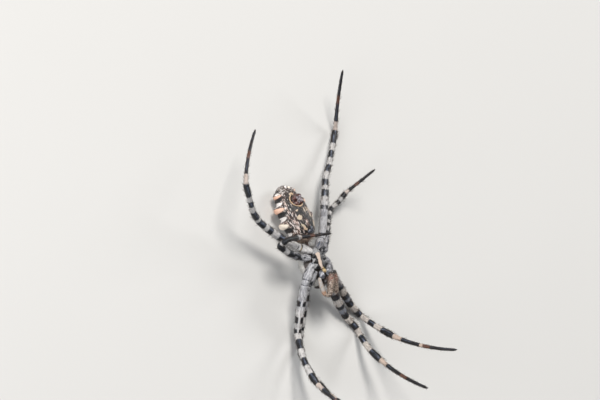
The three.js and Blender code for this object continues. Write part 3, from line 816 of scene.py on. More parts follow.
def painted_ring_highlight_share(name, place):
    """How strong the painted blue highlight on the black rings is: least on dark legs and on the
    tips.
    """
    if name in SPECKLED_LEGS:
        return 0.12
    base = 0.4 if name in CREAM_LEGS else 1.0
    return (base + (1 - base) * ease(1.9, 2.2, place)) * (1 - 0.75 * ease(4.0, 4.5, place))


def dark_field(name, place, lengths, arc, arc_at, facing, seed):
    """Millimetres inside (+) or outside (-) the black: rings, seams and blots, less a painted
    highlight line on the femur; the blots gather as painted shade on the sides turned away.
    """
    wide = np.ones_like(facing)
    at = place[:, None] * wide
    scale = np.interp(place, np.arange(5) + 0.5, lengths)
    dark = ring_distance(name, place, scale)[:, None] * wide
    # Painted highlight: a narrow pale line on the femur, on the side facing one fixed direction,
    # breaking its black rings.
    crest = facing.max(axis=1, keepdims=True)
    line = np.exp(-(crest - facing) / 0.022) * (at > 1.3) * (at < 1.99)
    dark = np.minimum(dark, 0.4) - 0.62 * PAINTED_HIGHLIGHT_LINES.get(name, 0.0) * line
    for seam in (arc_at[1], arc_at[1] + TROCHANTER):
        near = 0.07 - np.abs(arc - seam)[:, None] + 0.07 * noise3(seed, 1.6, 11)
        dark = np.maximum(dark, near * 2)
    patches = noise3(seed * np.array((0.55, 1.5, 1.5)), 1.5, 13)
    reach = 1.9 if name in SPECKLED_LEGS else 1.02
    # Dark blots are real patches; sparing them where the leg faces the highlight line's side leaves
    # them thicker on the sides turned away, as painted shade.
    spare, faced = BLOTS_SPARE.get(name, USUAL_SPARE)
    blots = (patches - spare - faced * facing) * 0.9 - 1.2 * ease(reach, reach + 0.1, at)
    return np.maximum(dark, np.minimum(blots, 0.4))


def pale_colours(name, place):
    """The colour of the pale down at each place."""
    stops = (SILVER, SILVER, SILVER, WHITE, WHITE, WHITE, WHITE, CREAM, CREAM)
    marks = (0, 1.1, 1.45, 1.62, 2.0, 3.0, 3.94, 4.0, 5.0)
    pale = np.stack([np.interp(place, marks, [c[k] for c in stops]) for k in range(3)], -1)
    if name in CREAM_LEGS:
        tint = 1 + (np.array((1.12, 1.04, 0.95)) - 1) * ease(1.1, 1.3, place)[:, None]
        before_knee = (place > 1.75) & (place < 1.87)
        pale = np.where(before_knee[:, None], np.array(BLUE_GREY), pale * tint)
    if name in BRIGHT_LEGS:
        femur = ease(0.9, 1.15, place) * (1 - ease(1.6, 2.0, place))
        pale = pale * (1.14 + 0.16 * femur)[:, None]
    if name in WHITE_BASE_PAINTED_LIGHT_LEGS:
        # Painted light: the white base is painted 1.3 to 1.75 times brighter, standing in for light
        # that doesn't reach it.
        base = np.where(place < 1, 1.3, 1.75)[:, None]
        pale = np.where(place[:, None] < 1.3, np.array(WHITE) * base, pale)
        membrane = (np.abs(place - 1.01) < 0.014)[:, None]
        pale = np.where(membrane, np.array(YELLOW), pale)
    return pale


def deep_colours(name, place):
    """The colour of the black at each place, with the brown ring before the tip."""
    brown = TIP_STARTS[name[1]]
    start = brown - BROWN_RING
    rufous = ease(start - 0.04, start, place) * (1 - ease(brown - 0.03, brown, place))
    tail = ease(4.0, 4.6, place)[:, None]
    deep = np.array(INK) * (1 - tail) + np.array((0.008, 0.006, 0.006)) * tail
    return deep * (1 - rufous[:, None]) + np.array(RUFOUS) * rufous[:, None]


def grey_share(name, place):
    """How much of the pale down is streaked with grey."""
    grey = 0.95 - 0.5 * ease(1.42, 1.6, place) - 0.25 * ease(3.9, 4.1, place)
    grey = grey * GREY_SHARE.get(name, 1.0)
    smooth = (place > SMOOTH_AFTER.get(name, SMOOTH_UNTIL)) & (place < SMOOTH_UNTIL)
    return np.where(smooth, SMOOTH_GREY, grey)


def leg_marks(name, place, lengths, arc, arc_at, outward, seed):
    """The fields of a leg's colours, each a grid of rows along it and columns round it."""
    facing = (outward * HIGHLIGHT_LINE_SIDE).sum(-1)
    wide = np.ones_like(facing)
    at = place[:, None] * wide
    # Painted highlight: a narrow band on the side of each ring that faces one fixed direction, for
    # the blue glint on the black.
    glint = (outward * PAINTED_HIGHLIGHT_SIDE).sum(-1)
    painted_glint = np.exp(-(glint.max(axis=1, keepdims=True) - glint) / 0.035)
    return {
        "leg_xyz": seed,
        "place": at,
        "dark": dark_field(name, place, lengths, arc, arc_at, facing, seed),
        "grey": grey_share(name, place)[:, None] * wide,
        "painted_ring_highlight": painted_glint * painted_ring_highlight_share(name, at),
        "pale": pale_colours(name, place)[:, None] * wide[..., None],
        "deep": deep_colours(name, place)[:, None] * wide[..., None],
    }


def leg_surface(name, number):
    path, place, lengths, arc_at = leg_path(name)
    arc = np.interp(place, np.arange(len(arc_at)), arc_at)
    girth = leg_girth(name, place, arc, arc_at)
    points, angle, _ = sweep(path * MM, girth, LEG_SIDES)
    outward = unit(points - points.mean(1, keepdims=True))
    seed = straightened(arc, girth, angle) + np.array([number * PATTERN_STEP, 0, 0])
    fields = leg_marks(name, place, lengths, arc, arc_at, outward, seed)
    patch = (0.0, number / len(LEGS) + 0.005, 1.0, 1 / len(LEGS) - 0.01)
    lumps = noise3(seed, 1.1, 3) * 0.014 + noise3(seed, 3.0, 5) * 0.008
    return Surface(points, fields, patch).push(lumps)


def leg_coat(surfaces, side, rng):
    """Short down in two colours, and longer bristles, over the legs of one side."""
    down = {"pale": [], "dark": []}
    bristles = []
    for surface in surfaces:
        place = surface.fields["place"]
        found = surface.scatter(np.where(place < 1, 30, 42), rng, HAIR_SHARE)
        inside = found["dark"] + rng.normal(0, 0.07, len(found["uv"])) > 0
        inside |= rng.random(len(inside)) < np.where(found["place"] > 2, 0.2, 0.1)
        for key, keep in (("pale", ~inside), ("dark", inside)):
            down[key].append(picked(found, keep))
        bristles.append(surface.scatter(np.where(place < 1.1, 1.2, 4.2), rng, HAIR_SHARE))
    for key, parts in down.items():
        roots = joined(parts)
        direction = combed(roots, 0.12, 0.45, 0.18, rng)
        shorter = np.where(roots["place"] > 4, 0.75, 1.0)
        length = rng.uniform(0.2, 0.4, len(direction)) * shorter
        hairs(f"coat_{key}_legs_{side}", roots, direction, length, 0.028,
              COATS[f"down_{key}"], "banded_leg")
    roots = joined(bristles)
    direction = combed(roots, 0.35, 0.75, 0.1, rng)
    curl = (roots["along"] - roots["normal"]) * 0.12
    shorter = np.where(roots["place"] > 4.2, 0.6, 1.0)
    length = rng.uniform(0.45, 0.8, len(direction)) * shorter
    hairs(f"bristles_legs_{side}", roots, direction, length, 0.045,
          COATS["bristle"], "banded_leg", curl)


# Stout spines: their places along a leg, and turns round it.
SPINE_PLACES = (1.35, 1.6, 1.85, 2.3, 2.8, 3.12, 3.3, 3.55, 3.75, 3.92, 4.1, 4.3, 4.5)
SPINE_TURNS = (0.02, 0.30, 0.48, 0.78)


def leg_spines(surfaces, side, rng):
    found = []
    for surface in surfaces:
        place = surface.fields["place"][:, 0]
        cols = surface.points.shape[1]
        for spot in SPINE_PLACES:
            for turn in SPINE_TURNS:
                row = np.argmin(np.abs(place - spot - rng.normal(0, 0.02)))
                col = int((turn + rng.normal(0, 0.02)) % 1 * cols) % cols
                left, low, width, height = surface.patch
                uv = (left + width * row / len(place), low + height * col / cols)
                found.append((surface.points[row, col], surface.normals[row, col],
                              surface.along[row, col], uv))
    roots = {key: np.array([f[i] for f in found])
             for i, key in enumerate(("at", "normal", "along", "uv"))}
    count = len(found)
    direction = roots["along"] * 0.75 + roots["normal"] * 0.6 \
        + rng.normal(0, 0.08, (count, 3))
    curl = (roots["along"] - roots["normal"]) * 0.16
    hairs(f"spines_legs_{side}", roots, direction, rng.uniform(0.8, 1.25, count), 0.075,
          COATS["bristle"], "banded_leg", curl)


def leg_claws(name, surface):
    """Two curved claws and a small hook at the end of a tarsus."""
    tip = surface.points[-4:].reshape(-1, 3).mean(0)
    along = unit(surface.points[-4].mean(0) - surface.points[-12].mean(0))
    side = unit(np.cross(along, (0.1, 0.2, 1.0)))
    under = np.cross(side, along)
    verts, quads, tris = [], [], []
    rows, cols = 7, 6
    for sway, reach in ((0.5, 0.34), (-0.5, 0.34), (0.0, 0.2)):
        t = np.linspace(0, 1, rows)
        curve = tip + (along[None] * (t * reach)[:, None]
                       + side[None] * (sway * 0.22 * t)[:, None]
                       + under[None] * (0.22 * reach * np.sin(t * 2.6))[:, None]) * MM
        points, _, _ = sweep(curve, 0.035 * (1 - t * 0.85), cols, origin=side)
        base = sum(len(v) for v in verts)
        index = np.arange(rows * cols).reshape(rows, cols) + base
        right = np.roll(index, -1, 1)
        quads.append(np.stack([index[:-1], index[1:], right[1:], right[:-1]], -1).reshape(-1, 4))
        verts.append(np.concatenate([points.reshape(-1, 3), [curve[-1]]]))
        end = np.full(cols, base + rows * cols)
        tris.append(np.stack([index[-1], end, right[-1]], -1))
    obj = build(f"claws_{name}", np.concatenate(verts), np.concatenate(quads),
                np.concatenate(tris))
    finish_piece(obj, COATS["claw"], "banded_leg")


# ------------------------------------------------------------------ body plates
def plate_points(sections, rows, cols):
    """A closed loft in the body frame, as body points."""
    table = smooth_rows(sections, rows)
    angle = 2 * math.pi * np.arange(cols) / cols
    y, width, belly, back, middle = (table[:, k:k + 1] for k in range(5))
    height = np.where(np.sin(angle)[None] > 0, belly - middle, middle - back)
    x = -np.maximum(width, 0.01) * np.cos(angle)[None]
    z = middle + height * np.sin(angle)[None]
    return np.stack([x, np.broadcast_to(y, x.shape), z], -1)


def bump_at(points, centre, radius, height):
    """Height of a rounded bump round a centre, for pushing a surface out or in."""
    distance = np.linalg.norm((points - np.asarray(centre)) / np.asarray(radius), axis=-1)
    return height * np.exp(-distance ** 2 * 1.6)


def body_surface(points, fields, patch=(0.0, 0.0, 1.0, 1.0)):
    return Surface(to_world(points), {"body_xyz": points, **fields}, patch)


def carapace_surface():
    points = plate_points(CARAPACE, 150, 150)
    x, y, z = points[..., 0], points[..., 1], points[..., 2]
    back = ease(0.2, -1.0, z)
    push = -0.35 * back * np.exp(-((np.abs(x) - (y + 7.6) * 0.62) / 0.28) ** 2) \
        * ease(-7.3, -6.6, y) * (1 - ease(-4.9, -4.2, y))
    push += bump_at(points, (0, -3.6, -2.9), (0.25, 0.7, 0.8), -0.3)
    for k in range(3):
        for s in (-1, 1):
            spot = (s * (1.9 + 0.25 * k), -5.2 + 1.25 * k, -1.9)
            push += bump_at(points, spot, (0.9, 0.32, 0.9), -0.14)
    push += noise3(points, 0.9, 1) * 0.05 + noise3(points, 2.6, 2) * 0.02
    for (ex, ey, ez), radius in EYES.values():
        for s in (-1, 1):
            push += bump_at(points, (s * ex, ey, ez), radius * 2.3, 0.1)
    bare = ease(0.4, -0.3, z) * -0.35 + ease(-7.6, -8.3, y) * 0.75 + ease(-0.2, 0.3, z) * 0.6
    surface = body_surface(points, {"bare": bare})
    return surface.push(push)


def sternum_surface():
    points = plate_points(STERNUM, 90, 120)
    x, y = points[..., 0].copy(), points[..., 1]
    scallop = 1 - 0.1 * np.cos((y + 4.15) * 2 * math.pi / 1.12) * ease(0.5, 1.4, np.abs(x))
    points = points.copy()
    points[..., 0] = x * scallop
    x = points[..., 0]
    half = np.interp(y, (-5.2, -4.4, -2.6, -1.4, -0.8), (0.24, 0.32, 0.46, 0.66, 0.72))
    centre = np.interp(y, (-5.2, -4.2, -2.6, -0.8), (-0.42, -0.36, -0.12, 0.0))
    band = half - np.abs(x - centre) + 0.06 * np.cos(y * 3.1)
    silver = np.abs(x) - 1.45 + 0.35 * np.cos((y + 4.15) * 2 * math.pi / 1.12)
    silver = np.maximum(silver, (y + 1.95) * 0.9)
    band = band - 1.2 * ease(-2.15, -1.75, y)
    yellow = 0.2 - np.hypot(x, y + 5.2)
    dome = 0.12 * np.exp(-((np.abs(x) - 1.15) / 0.45) ** 2) * np.cos(y * 5.6)
    fields = {"band": band, "silver": silver, "yellow": yellow}
    return body_surface(points, fields).push(dome * 0.5 + noise3(points, 2.0, 4) * 0.03)


def lobed(points, middle):
    """Swells a loft to take in the lobes, by rays from its own axis."""
    ray = points[..., [0, 2]] - np.stack([np.zeros_like(middle), middle], -1)
    reach = np.linalg.norm(ray, axis=-1)
    dx, dz = np.abs(ray[..., 0]) / reach, ray[..., 1] / reach
    y = points[..., 1]
    for (cx, cy, cz), (sx, sy, sz) in LOBES:
        left = 1 - ((y - cy) / sy) ** 2
        a = (dx / sx) ** 2 + (dz / sz) ** 2
        b = dx * cx / sx ** 2 + dz * (cz - middle) / sz ** 2
        c = (cx / sx) ** 2 + ((cz - middle) / sz) ** 2 - left
        gap = b * b - a * c
        far = (b + np.sign(gap) * np.sqrt(np.abs(gap))) / a
        reach = 0.5 * (reach + far + np.sqrt((reach - far) ** 2 + 0.03))
    out = points.copy()
    out[..., 0] = np.sign(ray[..., 0]) * dx * reach
    out[..., 2] = middle + dz * reach
    return out


# The white and the cream knob on the tail.
TAIL_KNOBS = ((0.05, 11.95, 0.4), (0.66, 11.6, 0.5))
ARC_RADIUS = 1.28              # the brown arc round the spinnerets
VALLEYS = (3.2, 6.35, 9.34)    # between the lobes
VALLEY_DEPTH, VALLEY_WIDTH = 0.28, 0.28
ABDOMEN_GRID = (290, 330)      # fine enough for the marks, and not thinned in the export
MUSCLE_PITS = ((3.0, 0.9), (4.6, 1.1), (6.2, 1.0), (7.7, 0.85), (9.0, 0.7))


def abdomen_surface():
    rows, cols = ABDOMEN_GRID
    points = plate_points(ABDOMEN, rows, cols)
    middle = smooth_rows(ABDOMEN, rows)[:, 4:5] * np.ones((1, cols))
    points = lobed(points, middle)
    x, y, z = points[..., 0], points[..., 1], points[..., 2]
    turn = np.arctan2(z - middle, np.abs(x))
    flank = np.exp(-((turn + 0.3) / 0.62) ** 2)
    push = np.zeros(x.shape)
    for valley in VALLEYS:
        push -= VALLEY_DEPTH * flank * np.exp(-((y - valley) / VALLEY_WIDTH) ** 2)
    ring = np.hypot(x - SPINNERETS_AT[0], y - SPINNERETS_AT[1])
    belly = ease(0.3, 1.0, z)
    push += belly * (0.14 * np.exp(-((ring - ARC_RADIUS) / 0.18) ** 2)
                     - 0.3 * (1 - ease(0.9, 1.3, ring)))
    for knob in TAIL_KNOBS:
        push += bump_at(points, knob, (0.3, 0.3, 0.3), 0.3)
    for pit_y, pit_x in MUSCLE_PITS:
        for s in (-1, 1):
            push += bump_at(points, (s * pit_x, pit_y, -2.8), (0.16, 0.2, 0.6), -0.09)
    push += noise3(points * np.array((1.0, 0.35, 1.0)), 2.4, 7) * 0.04
    push += noise3(points, 5.5, 8) * 0.014
    return body_surface(points, abdomen_marks(points, turn)).push(push)


def oval(u, v, at_u, at_v, half_u, half_v, lean=0.0):
    """Millimetres inside (+) or outside (-) a slanted oval."""
    du = (u - at_u - lean * (v - at_v)) / half_u
    dv = (v - at_v) / half_v
    return (1 - np.hypot(du, dv)) * min(half_u, half_v)


# Flank patches: y, height round the flank, half sizes, lean, and for the warm ones
# the colour's warmth from cream (0) to orange (1). Height is in millimetres up from
# the widest line towards the belly.
FLANK_WARM = (
    (10.72, -0.45, 0.30, 1.9, 0.04, 1.0),
    (8.22, -0.7, 0.54, 2.1, 0.0, 0.95),
    (5.12, -0.75, 0.68, 1.9, -0.1, 0.0),
)
FLANK_BLACK = (
    (11.62, 0.1, 0.16, 1.0, 0.0),
    (10.12, -0.8, 0.50, 2.4, 0.0),
    (7.34, -1.1, 0.56, 2.7, 0.0),
    (4.05, -1.1, 0.52, 2.6, 0.0),
    (2.1, 0.0, 0.55, 1.2, 0.0),
)
FLANK_WHITE = (
    (11.16, 0.6, 0.13, 0.5, 0.0),
    (9.28, -0.3, 0.38, 1.5, 0.05),
    (6.32, -0.4, 0.42, 1.6, 0.08),
    (3.15, -0.2, 0.36, 0.9, 0.0),
)
# Belly patches: x, y, half sizes, lean, and for the warm ones warmth.
BELLY_WARM = (
    (-1.2, 6.98, 0.24, 0.16, 0.3, 0.5), (-1.3, 5.5, 0.47, 0.50, 0.0, 0.15),
    (-1.25, 3.75, 0.24, 0.42, -0.5, 0.0), (-1.0, 3.1, 0.30, 0.42, -0.5, 0.5),
    (0.35, 6.6, 0.14, 0.46, 0.1, 0.1), (1.05, 6.45, 0.14, 0.5, 0.1, 0.15),
    (1.7, 6.3, 0.16, 0.5, 0.0, 0.2), (1.5, 5.2, 0.2, 0.46, 0.0, 0.15),
    (1.7, 3.4, 0.36, 0.6, 0.1, 0.1), (-0.35, 10.35, 0.34, 0.24, 0.3, 0.1),
)
BELLY_STREAKS = (
    (-2.05, 5.0, 0.25, 1.2, 0.1), (2.0, 5.4, 0.35, 1.2, -0.1),
    (-1.95, 6.1, 0.3, 0.8, 0.0), (-0.3, 4.2, 0.35, 0.9, -0.2), (1.2, 6.3, 0.5, 0.8, 0.0),
)


def abdomen_marks(p, turn):
    """Where each colour lies, as millimetres inside (+) or outside (-) its patch."""
    x, y, z = p[..., 0], p[..., 1], p[..., 2]
    side = np.abs(x)
    height = turn * 3.0
    nowhere = np.full(x.shape, -1.0)
    wobble = noise3(p, 1.3, 21)
    band_y = (1.6, 2.6, 4.5, 6.5, 8.0, 9.6, 10.5)
    band = np.interp(y, band_y, (0.4, 1.3, 1.45, 1.7, 1.9, 1.3, 0.2))
    black = np.where(z > 0.3, (band - side + 0.3 * wobble) * 0.8, nowhere)
    rail_y = (6.5, 8.0, 9.5, 10.6)
    rail = 0.12 - np.abs(side - np.interp(y, rail_y, (2.2, 2.25, 1.75, 1.1)))
    black = np.maximum(black, np.where((z > 0.2) & (y > 6.3) & (y < 10.6), rail, nowhere))
    black = np.where(z > 0.3, np.minimum(black, 0.08 + 0.16 * noise3(p, 1.9, 23)), black)
    flank = np.abs(height) < 3.9

    def patches(table, where=flank, u=y, v=height):
        best = nowhere
        for at_u, at_v, half_u, half_v, lean in table:
            inside = oval(u, v, at_u, at_v, half_u, half_v, lean)
            best = np.maximum(best, np.where(where, inside, -1.0))
        return best

    pitch = patches(FLANK_BLACK)
    white = patches(FLANK_WHITE)
    cream, warmth = nowhere, np.zeros(x.shape)
    for *spot, warm in FLANK_WARM:
        inside = patches([spot])
        tint = warm - 0.2 * ease(-0.4, 1.0, height)
        warmth = np.where(inside > -0.2, tint, warmth)
        cream = np.maximum(cream, inside)
    spots = nowhere
    for *spot, warm in BELLY_WARM:
        inside = patches([spot], z > 0.5, x, y)
        warmth = np.where(inside > -0.15, warm + 0.15 * (y > spot[1]), warmth)
        spots = np.maximum(spots, inside)
    ring = np.hypot(x - SPINNERETS_AT[0], y - SPINNERETS_AT[1])
    rim = 0.12 - np.abs(ring - ARC_RADIUS - 0.08 * ease(0.0, 1.0, x - y + 8.4))
    blob = 0.3 - np.hypot(x - 0.05, y - 10.3)
    rim = np.maximum(rim - 0.2 * ease(0.3, 1.2, x + (y - 8.2) * 0.6), blob)
    for k, knob in enumerate(TAIL_KNOBS):
        round_knob = 0.26 - np.linalg.norm(p - np.array(knob), axis=-1)
        if k == 0:
            white = np.maximum(white, round_knob)
        else:
            cream = np.maximum(cream, round_knob)
            warmth = np.where(round_knob > -0.1, 0.05, warmth)
    pits = nowhere
    for pit_y, pit_x in MUSCLE_PITS:
        d = np.hypot(side - pit_x, y - pit_y)
        pits = np.maximum(pits, np.where(z < -1.5, 0.14 - d, -1.0))
    share = 0.45 + 0.3 * np.exp(-((height - 1.9) / 0.8) ** 2) - 0.3 * ease(2.1, 1.7, side)
    share = np.where(height > 0.4, share, 0.3)
    share = share + 0.5 * ease(10.2, 11.2, y) * (z > -0.9)
    streaks = 0.3 * ease(-0.15, 0.05, patches(BELLY_STREAKS, z > 0.5, x, y))
    return {
        "silver": (-1.6 - z) * 0.9,
        "share": share + streaks,
        "tail": ease(10.3, 11.2, y),
        "black": black - streaks,
        "pitch": pitch,
        "white": white,
        "cream": cream,
        "spots": spots,
        "warmth": np.clip(warmth, 0, 1),
        "arc": np.where(z > 0.5, rim, nowhere),
        "rust": (1.75 - y) * 0.7,
        "pits": pits,
    }


# ------------------------------------------------------------------ small parts
def egg_surface(centre, size, turn=0.0, rows=40, cols=48):
    """An egg lying along the body's y axis, as body points."""
    u = np.linspace(0.004, math.pi - 0.004, rows)[:, None]
    a = 2 * math.pi * np.arange(cols)[None] / cols
    x = size[0] * np.sin(u) * np.cos(a)
    y = -size[1] * np.cos(u) * np.ones_like(a)
    z = size[2] * np.sin(u) * np.sin(a)
    c, s = math.cos(math.radians(turn)), math.sin(math.radians(turn))
    x, y = x * c - y * s, x * s + y * c
    return np.stack([x, y, z], -1) + np.asarray(centre, float)


def tube_surface(points, radii, sides=24, count=60, patch=(0.0, 0.0, 1.0, 1.0), seed=0):
    """A smooth round limb through body points, closed with round ends."""
    rows = smooth_rows(np.column_stack([points, radii]), count)
    ends = np.linspace(0, 1, count)
    cap = np.sqrt(np.clip(np.minimum(ends, 1 - ends) / 0.045, 0.01, 1))
    path = to_world(rows[:, :3])
    girth = rows[:, 3] * cap
    surface, angle, arc = sweep(path, girth, sides)
    place = np.linspace(0, len(points) - 1, count)[:, None] * np.ones(sides)
    fields = {"leg_xyz": straightened(arc, girth, angle) + seed * 13.7, "place": place}
    return Surface(surface, fields, patch)


PALPS = {
    "L": ((-1.55, -6.75, 1.2), (-1.95, -7.2, 1.25), (-1.95, -8.6, 1.1), (-1.9, -9.6, 0.98),
          (-1.7, -10.12, 1.1), (-1.25, -10.3, 1.45), (-0.85, -9.3, 2.0), (-0.35, -7.7, 2.65),
          (0.06, -6.34, 3.15)),
    "R": ((1.55, -6.75, 1.2), (1.95, -7.2, 1.2), (1.86, -8.6, 0.86), (1.72, -9.6, 0.56),
          (1.5, -10.12, 0.6), (1.12, -10.3, 0.9), (1.06, -9.4, 1.4), (1.0, -7.9, 2.3),
          (0.95, -6.42, 3.18)),
}
PALP_RADII = (0.31, 0.42, 0.48, 0.46, 0.38, 0.45, 0.56, 0.56, 0.27)
PALP_ROWS, PALP_SIDES = 130, 24
PALP_JOINTS = (1.0, 3.0, 4.9, 6.3)
PALP_TIP = 2.9                 # the last place number, which the colours count by


def make_palps(rng):
    material = palp_material()
    for number, (which, points) in enumerate(PALPS.items()):
        patch = (0.0, number * 0.5, 1.0, 0.48)
        surface = tube_surface(points, PALP_RADII, PALP_SIDES, PALP_ROWS, patch, number)
        last = len(points) - 1
        t = np.linspace(0, last, PALP_ROWS)[:, None] * np.ones(PALP_SIDES)
        for joint in PALP_JOINTS:
            surface = surface.push(-0.05 * np.exp(-((t - joint) / 0.1) ** 2))
        surface.fields["place"] = t / last * PALP_TIP
        obj = surface.mesh(f"palp_skin_{which}")
        finish_piece(obj, material, "palp_cream", f"palp_{which}_upper", f"palp_{which}_lower")
        place = surface.fields["place"]
        density = np.where(place > 1.2, 75, 14)
        roots = surface.scatter(density, rng, HAIR_SHARE)
        direction = combed(roots, 0.25, 0.7, 0.15, rng)
        count = len(direction)
        length = np.where(roots["place"] > 1.4, 0.36, 0.26) * rng.uniform(0.6, 1.2, count)
        dark = roots["place"] + rng.normal(0, 0.1, count) > 2.74
        dark |= rng.random(count) < 0.2
        for key, keep in (("dark", dark), ("brown", ~dark)):
            hairs(f"palp_hair_{key}_{which}", picked(roots, keep), direction[keep],
                  length[keep], 0.032, COATS[f"down_{key}"], "palp_cream")


def make_mouth(rng):
    black = chitin_material("mouth_chitin", (0.014, 0.012, 0.013), (0.06, 0.045, 0.04), 0.3)
    blue = chitin_material("lip_chitin", (0.07, 0.073, 0.088), (0.34, 0.345, 0.38), 0.22, 0.6)
    yellow = chitin_material("labium_chitin", (0.46, 0.34, 0.17), (0.26, 0.19, 0.11), 0.35)
    fang = chitin_material("fang_chitin", (0.02, 0.008, 0.006), (0.06, 0.02, 0.012), 0.16, 0.7)
    for s, which in ((-1, "L"), (1, "R")):
        points = [(0.7 * s, -7.75, -0.5), (0.72 * s, -7.82, 0.2), (0.7 * s, -7.78, 0.95),
                  (0.62 * s, -7.66, 1.55), (0.55 * s, -7.55, 1.85)]
        surface = tube_surface(points, (0.5, 0.58, 0.58, 0.47, 0.28), 32, 60)
        skin = surface.mesh(f"chelicera_skin_{which}")
        finish_piece(skin, black, "dark_plate", f"chelicera_{which}")
        curve = [(0.75 * s, -7.35, 1.82), (0.6 * s, -7.18, 1.98), (0.35 * s, -7.1, 1.95),
                 (0.12 * s, -7.15, 1.86)]
        tooth = tube_surface(curve, (0.15, 0.13, 0.09, 0.02), 14, 30).mesh(f"fang_{which}")
        finish_piece(tooth, fang, "dark_plate")
        points = egg_surface((0.9 * s, -6.3, 1.34), (0.68, 0.87, 0.55), 10 * s, 50, 60)
        dip = bump_at(points, (0.4 * s, -6.1, 1.75), (0.3, 0.7, 0.3), -0.08)
        endite = body_surface(points, {}).push(dip + noise3(points, 2.5, 9) * 0.02)
        finish_piece(endite.mesh(f"endite_skin_{which}"), blue, "dark_plate", f"endite_{which}")
        roots = endite.scatter(40, rng, HAIR_SHARE)
        keep = (np.abs(roots["body_xyz"][:, 0]) < 0.75) | (roots["body_xyz"][:, 1] < -6.75)
        roots = picked(roots, keep)
        count = len(roots["uv"])
        direction = roots["normal"] * 0.8 + rng.normal(0, 0.25, (count, 3))
        hairs(f"endite_hair_{which}", roots, direction, rng.uniform(0.2, 0.42, count), 0.022,
              COATS["down_dark"], "dark_plate")
    points = egg_surface((0, -5.75, 1.4), (0.48, 0.43, 0.38), 0, 36, 40)
    lip = body_surface(points, {}).mesh("labium_skin")
    finish_piece(lip, yellow, "dark_plate", "labium")


# Teats beside the midline: x, y from the middle of the cluster, width, reach.
TEATS = ((0.60, 0.54, 0.56, 0.30), (0.58, -0.56, 0.54, 0.28), (0.22, 0.0, 0.3, 0.16))


def make_spinnerets(rng):
    brown = chitin_material("spinneret_chitin", (0.03, 0.009, 0.007), (0.13, 0.045, 0.035),
                            0.25, 0.6)
    grey = chitin_material("spinneret_tips", (0.09, 0.07, 0.08), (0.3, 0.26, 0.28), 0.3, 0.3)
    cx, cy = SPINNERETS_AT
    base = egg_surface((cx, cy, 2.02), (1.2, 1.2, 0.5), 0, 40, 60)
    a = np.arctan2(base[..., 1] - cy, base[..., 0])
    ridge = 0.05 * np.cos(a * 12) * ease(0.5, 1.0, np.hypot(base[..., 0], base[..., 1] - cy))
    base_obj = body_surface(base, {}).push(ridge).mesh("spinneret_base")
    finish_piece(base_obj, brown, "spinneret_brown", "spinnerets")
    for s, which in ((-1, "L"), (1, "R")):
        for k, (dx, dy, width, reach) in enumerate(TEATS):
            root = np.array((cx + s * dx, cy + dy, 2.1))
            lean = np.array((-s * dx * 0.4, -dy * 0.4, 0.6 + reach))
            t = np.array((0.0, 0.3, 0.55, 0.6, 0.8, 1.0))
            radii = width * np.array((1.0, 1.05, 0.9, 0.7, 0.62, 0.3))
            teat = tube_surface(root + lean * t[:, None], radii, 24, 50)
            teat = teat.push(noise3(teat.points / MM, 3.5, 30 + k) * 0.04)
            finish_piece(teat.mesh(f"spinneret_{which}_{k + 1}"), brown, "spinneret_brown")
            cap = tube_surface(root + lean * np.array((0.84, 0.96, 1.05))[:, None],
                               (width * 0.6, width * 0.55, width * 0.2), 20, 16)
            finish_piece(cap.mesh(f"spinneret_tip_{which}_{k + 1}"), grey, "spinneret_brown")
            roots = teat.scatter(50, rng, HAIR_SHARE)
            count = len(roots["uv"])
            direction = roots["along"] * 0.8 + roots["normal"] * 0.4 \
                + rng.normal(0, 0.15, (count, 3))
            hairs(f"spinneret_hair_{which}_{k + 1}", roots, direction,
                  rng.uniform(0.1, 0.22, count), 0.016, COATS["down_dark"],
                  "spinneret_brown")


def make_epigynum():
    ink = chitin_material("epigynum_chitin", (0.012, 0.013, 0.018), (0.10, 0.11, 0.14),
                          0.16, 0.8)
    plate = egg_surface((0, 2.35, 2.37), (0.74, 0.54, 0.41), 0, 40, 48)
    push = bump_at(plate, (0, 2.1, 2.8), (0.22, 0.3, 0.3), -0.16)
    obj = body_surface(plate, {}).push(push).mesh("epigynum_plate")
    finish_piece(obj, ink, "dark_plate", "epigynum")
    scape = [(0, 2.3, 2.62), (0, 2.6, 2.86), (0, 2.95, 2.94), (0, 3.3, 2.86)]
    hook = tube_surface(scape, (0.26, 0.24, 0.2, 0.1), 20, 40).mesh("epigynum_scape")
    finish_piece(hook, ink, "dark_plate")


def make_eyes():
    lens = eye_material()
    for name, ((x, y, z), radius) in EYES.items():
        for s, which in ((-1, "L"), (1, "R")):
            points = egg_surface((s * x, y, z), (radius,) * 3, 0, 28, 36)
            obj = body_surface(points, {}).mesh(f"{name}_{which}_lens")
            finish_piece(obj, lens, "eye_black", f"{name}_{which}")


def body_coat(name, surface, density, length, lift, width, material, slot, rng, keep=None):
    """Short hair that lies towards the tail over one body plate."""
    roots = surface.scatter(density, rng, HAIR_SHARE)
    if keep is not None:
        roots = picked(roots, keep(roots))
    direction = combed(roots, *lift, 0.2, rng)
    hairs(name, roots, direction, rng.uniform(*length, len(direction)), width, material, slot)


# ------------------------------------------------------------------ stage
CAMERA_DISTANCE = 1.0
FRAME_WIDTH = 0.1154                       # width of the photograph at the spider
CAMERA_BACK = Vector((-0.6691, 0.1317, 0.7314))
CAMERA_UP = Vector((0.2904, 0.9523, 0.0942))
# The waist in the photograph, in pixels to the right of its middle and below it.
PIXELS_PER_MM = 5.2
WAIST_RIGHT, WAIST_DOWN = 8 / PIXELS_PER_MM * MM, 45 / PIXELS_PER_MM * MM
FLOOR_HALF = 4.0
